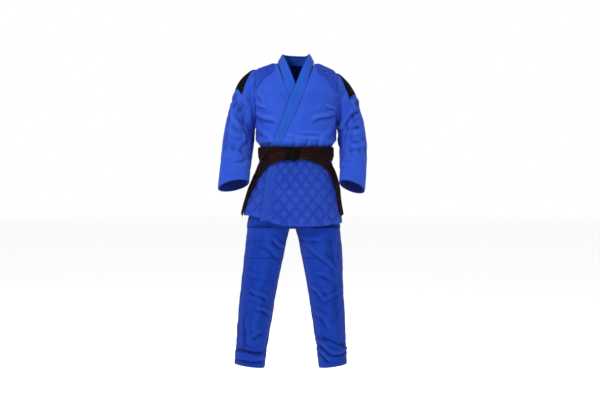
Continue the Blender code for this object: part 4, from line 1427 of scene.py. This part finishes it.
KNOT_BACK = body_point(-90, BELT_TOP, BELT_OUT + 2 * BELT_THICK + 0.001).y
KNOT_MIDDLE = BELT_TOP - 0.029
KNOT_ASIDE = 0.009         # the knot sits this far to the wearer's right of the middle
KNOT_DROP = 0.007
KNOT_FLATTER = 0.76


def knot_tape(name, stations, columns=20, rows=48, crown=0.0, seed=0.0):
    """Stations are given from the knot's middle: x, distance to the front, height."""
    placed = [(x - KNOT_ASIDE, KNOT_BACK - y, KNOT_MIDDLE + KNOT_FLATTER * z - KNOT_DROP,
               ax, ay, az, w) for x, y, z, ax, ay, az, w in stations]
    piece = cut_piece(name, columns, rows, tape_place(placed, crown), BELT_THICK, knot_cloth_in_painted_shade,
                      core=one_way(0, -1, 0), seams="", relief=tape_relief(seed))
    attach(piece, "jacket")
    return piece


wrap = knot_tape("knot_wrap", [
    (-0.016, -0.006, 0.027, 1, 0, 0.25, 0.034),
    (-0.015, 0.004, 0.026, 1, 0, 0.25, 0.034),
    (-0.011, 0.0135, 0.014, 1, 0, 0.30, 0.032),
    (-0.005, 0.0165, -0.001, 1, 0, 0.35, 0.031),
    (0.001, 0.0135, -0.016, 1, 0, 0.40, 0.034),
    (0.006, 0.005, -0.028, 1, 0, 0.40, 0.037),
    (0.007, -0.004, -0.029, 1, 0, 0.40, 0.037)], crown=0.0035, seed=1.0)
cross = knot_tape("knot_cross", [
    (0.030, -0.004, 0.017, 0.35, 0, 1, 0.030),
    (0.022, 0.0060, 0.012, 0.35, 0, 1, 0.034),
    (0.004, 0.0110, 0.002, 0.35, 0, 1, 0.036),
    (-0.016, 0.0100, -0.008, 0.35, 0, 1, 0.038),
    (-0.034, 0.0070, -0.014, 0.35, 0, 1, 0.040),
    (-0.046, -0.0010, -0.018, 0.35, 0, 1, 0.040)], crown=0.002, seed=2.0)
declare(wrap, ["belt_knot"])
declare(cross, [])


# %% The ends of the belt
TAIL_BREAK = 0.80           # a share of an end's run; the points just above and below it are found but not used
TAIL_STARTS = {"left": (-90, -0.414, 0.0195), "right": (-91, -0.416, 0.0175)}


def tail_point(side, t):
    values = along_path((TAIL_STARTS[side], *TAIL_RUNS[side]), t)
    return body_point(values[0], values[1], values[2]), values


def tail_place(side):
    def place(u, v):
        point, (turn, z, out) = tail_point(side, v)
        along = tail_point(side, min(1.0, v + 0.01))[0] - tail_point(side, max(0.0, v - 0.01))[0]
        wider = body_point(turn + 1, z, out) - body_point(turn - 1, z, out)
        higher = body_point(turn, z + 0.01, out) - body_point(turn, z - 0.01, out)
        outward = wider.cross(higher).normalized()
        across = outward.cross(along.normalized()).normalized()
        sag = 0.004 * sin(v * 8 + (2 if side == "left" else 0)) * (2 * u - 1) ** 2
        return settled(point - across * (2 * u - 1) * BELT_WIDTH * 0.48 + outward * sag)

    return place


for side in TAIL_RUNS:
    creased = tape_relief(5.0 if side == "left" else 8.0, 0.0022)
    piece = cut_piece(f"belt_end_{side}_tape", 22, 150, tail_place(side), BELT_THICK, belt_cloth,
                      seams="t", relief=creased, groove=0.0008)
    above = settled(tail_point(side, TAIL_BREAK - 0.05)[0])
    below = settled(tail_point(side, TAIL_BREAK + 0.05)[0])
    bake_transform(piece)
    declare(piece, [f"belt_tail_{side}", f"belt_tail_{side}_end"])

# %% [markdown]
# ## The trousers
# Judo trousers are two wide legs joined by a seat and a gusset, with a waistband that holds a
# drawstring. A second layer strengthens the front of each leg from above the knee to the shin.
# The cloth is a twill, and it breaks in folds over the foot.

# %% Shapes of the seat and the legs
def seat_point(turn, z, out=0.0):
    power = 2 / 2.4
    angle = radians(turn)
    x = hip_shift(z) + (between(SEAT_BODY, z, 1) + out) * signed_power(cos(angle), power)
    return Vector((x, (between(SEAT_BODY, z, 2) + out) * signed_power(sin(angle), power), z))


def leg_share(z):
    return (CROTCH - z) / (CROTCH - TROUSER_HEM)


def leg_point(side, z, angle, inset=0.0):
    down = leg_share(z)
    outer = quadratic_through(LEGS[side]["outer"], down)
    inner = quadratic_through(LEGS[side]["inner"], down)
    middle, half = (outer + inner) / 2, abs(outer - inner) / 2 - inset
    depth = quadratic_through(LEG_DEPTHS, down) - inset
    power = 2 / mix(2.5, 2.1, clamp01(down))
    across = half * signed_power(cos(angle), power)
    lean = LEGS[side]["sign"] * 0.14 * smooth(down)
    return Vector((middle + across, depth * signed_power(sin(angle), power), z + lean * across))


LEG_FOLDS = {
    "right": [
        (-0.205, -1.042, -0.125, -1.088, 0.009, 0.0060, -1),
        (-0.185, -1.122, -0.118, -1.152, 0.009, 0.0055, -1),
        (-0.215, -1.258, -0.160, -1.236, 0.009, 0.0045, -1),
        (-0.285, -1.326, -0.140, -1.344, 0.009, -0.0075, -1),
        (-0.275, -1.362, -0.150, -1.370, 0.008, 0.0040, -1),
        (-0.110, -0.806, -0.050, -0.850, 0.009, 0.0060, -1),
        (-0.150, -0.830, -0.060, -0.900, 0.011, 0.0045, -1),
        (-0.230, -0.960, -0.120, -0.990, 0.012, 0.0035, -1),
        (-0.225, -1.170, -0.215, -1.300, 0.010, 0.0040, -1),
        (-0.255, -1.020, -0.110, -1.060, 0.012, 0.0070, 1),
        (-0.250, -1.095, -0.115, -1.075, 0.012, 0.0070, 1),
        (-0.240, -1.140, -0.130, -1.120, 0.010, 0.0050, 1),
        (-0.200, -0.790, -0.060, -0.900, 0.013, 0.0060, 1),
        (-0.285, -1.310, -0.140, -1.340, 0.010, 0.0070, 1),
        (-0.280, -1.350, -0.150, -1.365, 0.009, 0.0050, 1),
    ],
    "left": [
        (0.062, -0.838, 0.195, -0.958, 0.010, 0.0060, -1),
        (0.094, -0.958, 0.182, -0.996, 0.010, 0.0055, -1),
        (0.072, -1.018, 0.134, -1.090, 0.010, 0.0062, -1),
        (0.130, -1.092, 0.215, -1.040, 0.010, 0.0055, -1),
        (0.092, -1.140, 0.172, -1.218, 0.011, 0.0050, -1),
        (0.098, -1.278, 0.178, -1.338, 0.009, 0.0080, -1),
        (0.172, -1.338, 0.250, -1.322, 0.009, 0.0070, -1),
        (0.090, -1.318, 0.165, -1.368, 0.009, 0.0065, -1),
        (0.125, -1.272, 0.225, -1.306, 0.009, -0.0060, -1),
        (0.020, -0.800, 0.120, -0.812, 0.010, 0.0040, -1),
        (0.220, -1.020, 0.075, -1.060, 0.012, 0.0070, 1),
        (0.225, -1.095, 0.090, -1.075, 0.012, 0.0070, 1),
        (0.215, -1.140, 0.100, -1.120, 0.010, 0.0050, 1),
        (0.180, -0.790, 0.030, -0.900, 0.013, 0.0060, 1),
        (0.245, -1.305, 0.100, -1.340, 0.010, 0.0075, 1),
        (0.240, -1.350, 0.110, -1.368, 0.009, 0.0055, 1),
    ],
}


def leg_place(side, top, bottom, inset, first=0.0, turn=2 * pi):
    def place(u, v):
        z = mix(bottom, top, v)
        return leg_point(side, z, first + turn * u, inset)

    return place


FLARE_HEIGHT = 0.15        # the seat widens to the legs over this height
SEAT_FLATTER = 0.935       # and is this much shallower where it meets them


def seat_place(side, sign):
    def place(u, v):
        z = mix(CROTCH - 0.006, TROUSER_TOP - WAISTBAND_WIDTH, v)
        turn = mix(-90.0, 90.0, u)
        point = seat_point(turn if sign > 0 else 180 - turn, z, -TWILL)
        near_leg = 1 - smooth((z - CROTCH) / FLARE_HEIGHT)
        to_leg = quadratic_through(LEGS[side]["outer"], 0.0) - seat_point(90 - 90 * sign, CROTCH).x
        point.x += (to_leg + sign * TWILL) * near_leg * cos(radians(turn)) ** 0.6
        point.y *= mix(1.0, SEAT_FLATTER, near_leg)
        return point

    return place


SEAT_FOLDS = [
    (-0.090, -0.620, -0.170, -0.720, 0.013, 0.0050, -1),
    (0.060, -0.620, 0.150, -0.720, 0.013, 0.0050, -1),
    (-0.100, -0.620, -0.020, -0.740, 0.014, 0.0060, 1),
    (0.080, -0.620, 0.000, -0.740, 0.014, 0.0060, 1),
]
LEG_FOLD_DEPTH = 1.1
seat_relief = fold_relief(SEAT_FOLDS, 0.002, 9.0, 5.0)
for side in LEGS:
    sign = LEGS[side]["sign"]
    deeper = [(*fold[:5], LEG_FOLD_DEPTH * fold[5], fold[6]) for fold in LEG_FOLDS[side]]
    folds = fold_relief(deeper, 0.0030, 7.0, 20.0 * sign)
    seam_at = pi if sign > 0 else 0.0

    def leg_relief(point, u, v, folds=folds):
        return folds(point, u, v) * smooth(v / 0.03) * smooth((1 - v) / 0.05)

    seat = cut_piece(f"seat_{side}", 70, 70, seat_place(side, sign), TWILL, trouser_cloth,
                     seams="lr", relief=lambda p, u, v: seat_relief(p, u, v) * smooth(v / 0.08))
    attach(seat, "trousers")
    declare(seat, [f"trouser_seat_{side}"])
    leg = cut_piece(f"leg_{side}", 120, 170,
                    leg_place(side, CROTCH, TROUSER_HEM, TWILL, seam_at), TWILL, trouser_cloth,
                    core=own_middle, seams="lrb", closed=True, relief=leg_relief)
    patch = cut_piece(f"knee_patch_{side}", 60, 120,
                      leg_place(side, KNEE + 0.170, KNEE - 0.190, -0.0006, pi * 1.14, pi * 0.72),
                      TWILL * 0.5, trouser_cloth, seams="lr", groove=0.0006,
                      relief=lambda p, u, v: 0.0002 + folds(p, u, v))
    hem = cut_piece(f"hem_{side}", 80, 8,
                    leg_place(side, TROUSER_HEM + 0.030, TROUSER_HEM + 0.001, 2 * TWILL + 0.0008),
                    TWILL * 0.8, trouser_cloth, core=own_middle, seams="t", closed=True)
    form = cut_piece(f"limb_{side}", 32, 40,
                     leg_place(side, CROTCH + 0.01, TROUSER_HEM - 0.03, 0.012), TWILL,
                     trouser_cloth, core=own_middle, seams="", closed=True)
    seams = [leg_point(side, z, angle) for z in (CROTCH, TROUSER_HEM)
             for angle in np.linspace(0, 2 * pi, 60)]
    settle(leg, form, seams, [hem], 1.045, 1.02, 0.010, [patch])
    for piece, cads in ((leg, [f"thigh_{side}", f"shin_{side}"]),
                        (patch, [f"knee_patch_upper_{side}", f"knee_patch_lower_{side}"])):
        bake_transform(piece)
        declare(piece, cads)
    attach(hem, f"lower_leg_{side}")
    declare(hem, [f"trouser_hem_{side}"])


# %% The waistband and the gusset
def waistband_place(u, v):
    z = mix(TROUSER_TOP - WAISTBAND_WIDTH, TROUSER_TOP, v)
    return seat_point(mix(-87.4, 267.4, u), z, -TWILL)


def gusset_place(u, v):
    angle = radians(mix(-150, -30, v))
    half = 0.008 + 0.030 * clamp01(-sin(angle) * 2 - 1)
    return Vector((HIP_SHIFT + half * (2 * u - 1), 0.100 * cos(angle),
                   CROTCH + 0.060 + 0.052 * sin(angle)))


def gathers(point, u, v):
    return 0.0012 * sin(2 * pi * (u * 46 + 0.6 * noise.noise(Vector((u * 20, v, 3.0)))))


band = cut_piece("trouser_band", 220, 16, waistband_place, TWILL, trouser_cloth, seams="bt",
                 relief=gathers)
gusset = cut_piece("gusset", 16, 40, gusset_place, TWILL, trouser_cloth, seams="lr",
                   core=one_way(0, 0, -1))
for piece, cad, held in ((band, "trouser_waistband", "gathered"),
                         (gusset, "crotch_gusset", "hung")):
    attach(piece, "trousers")
    declare(piece, [cad])
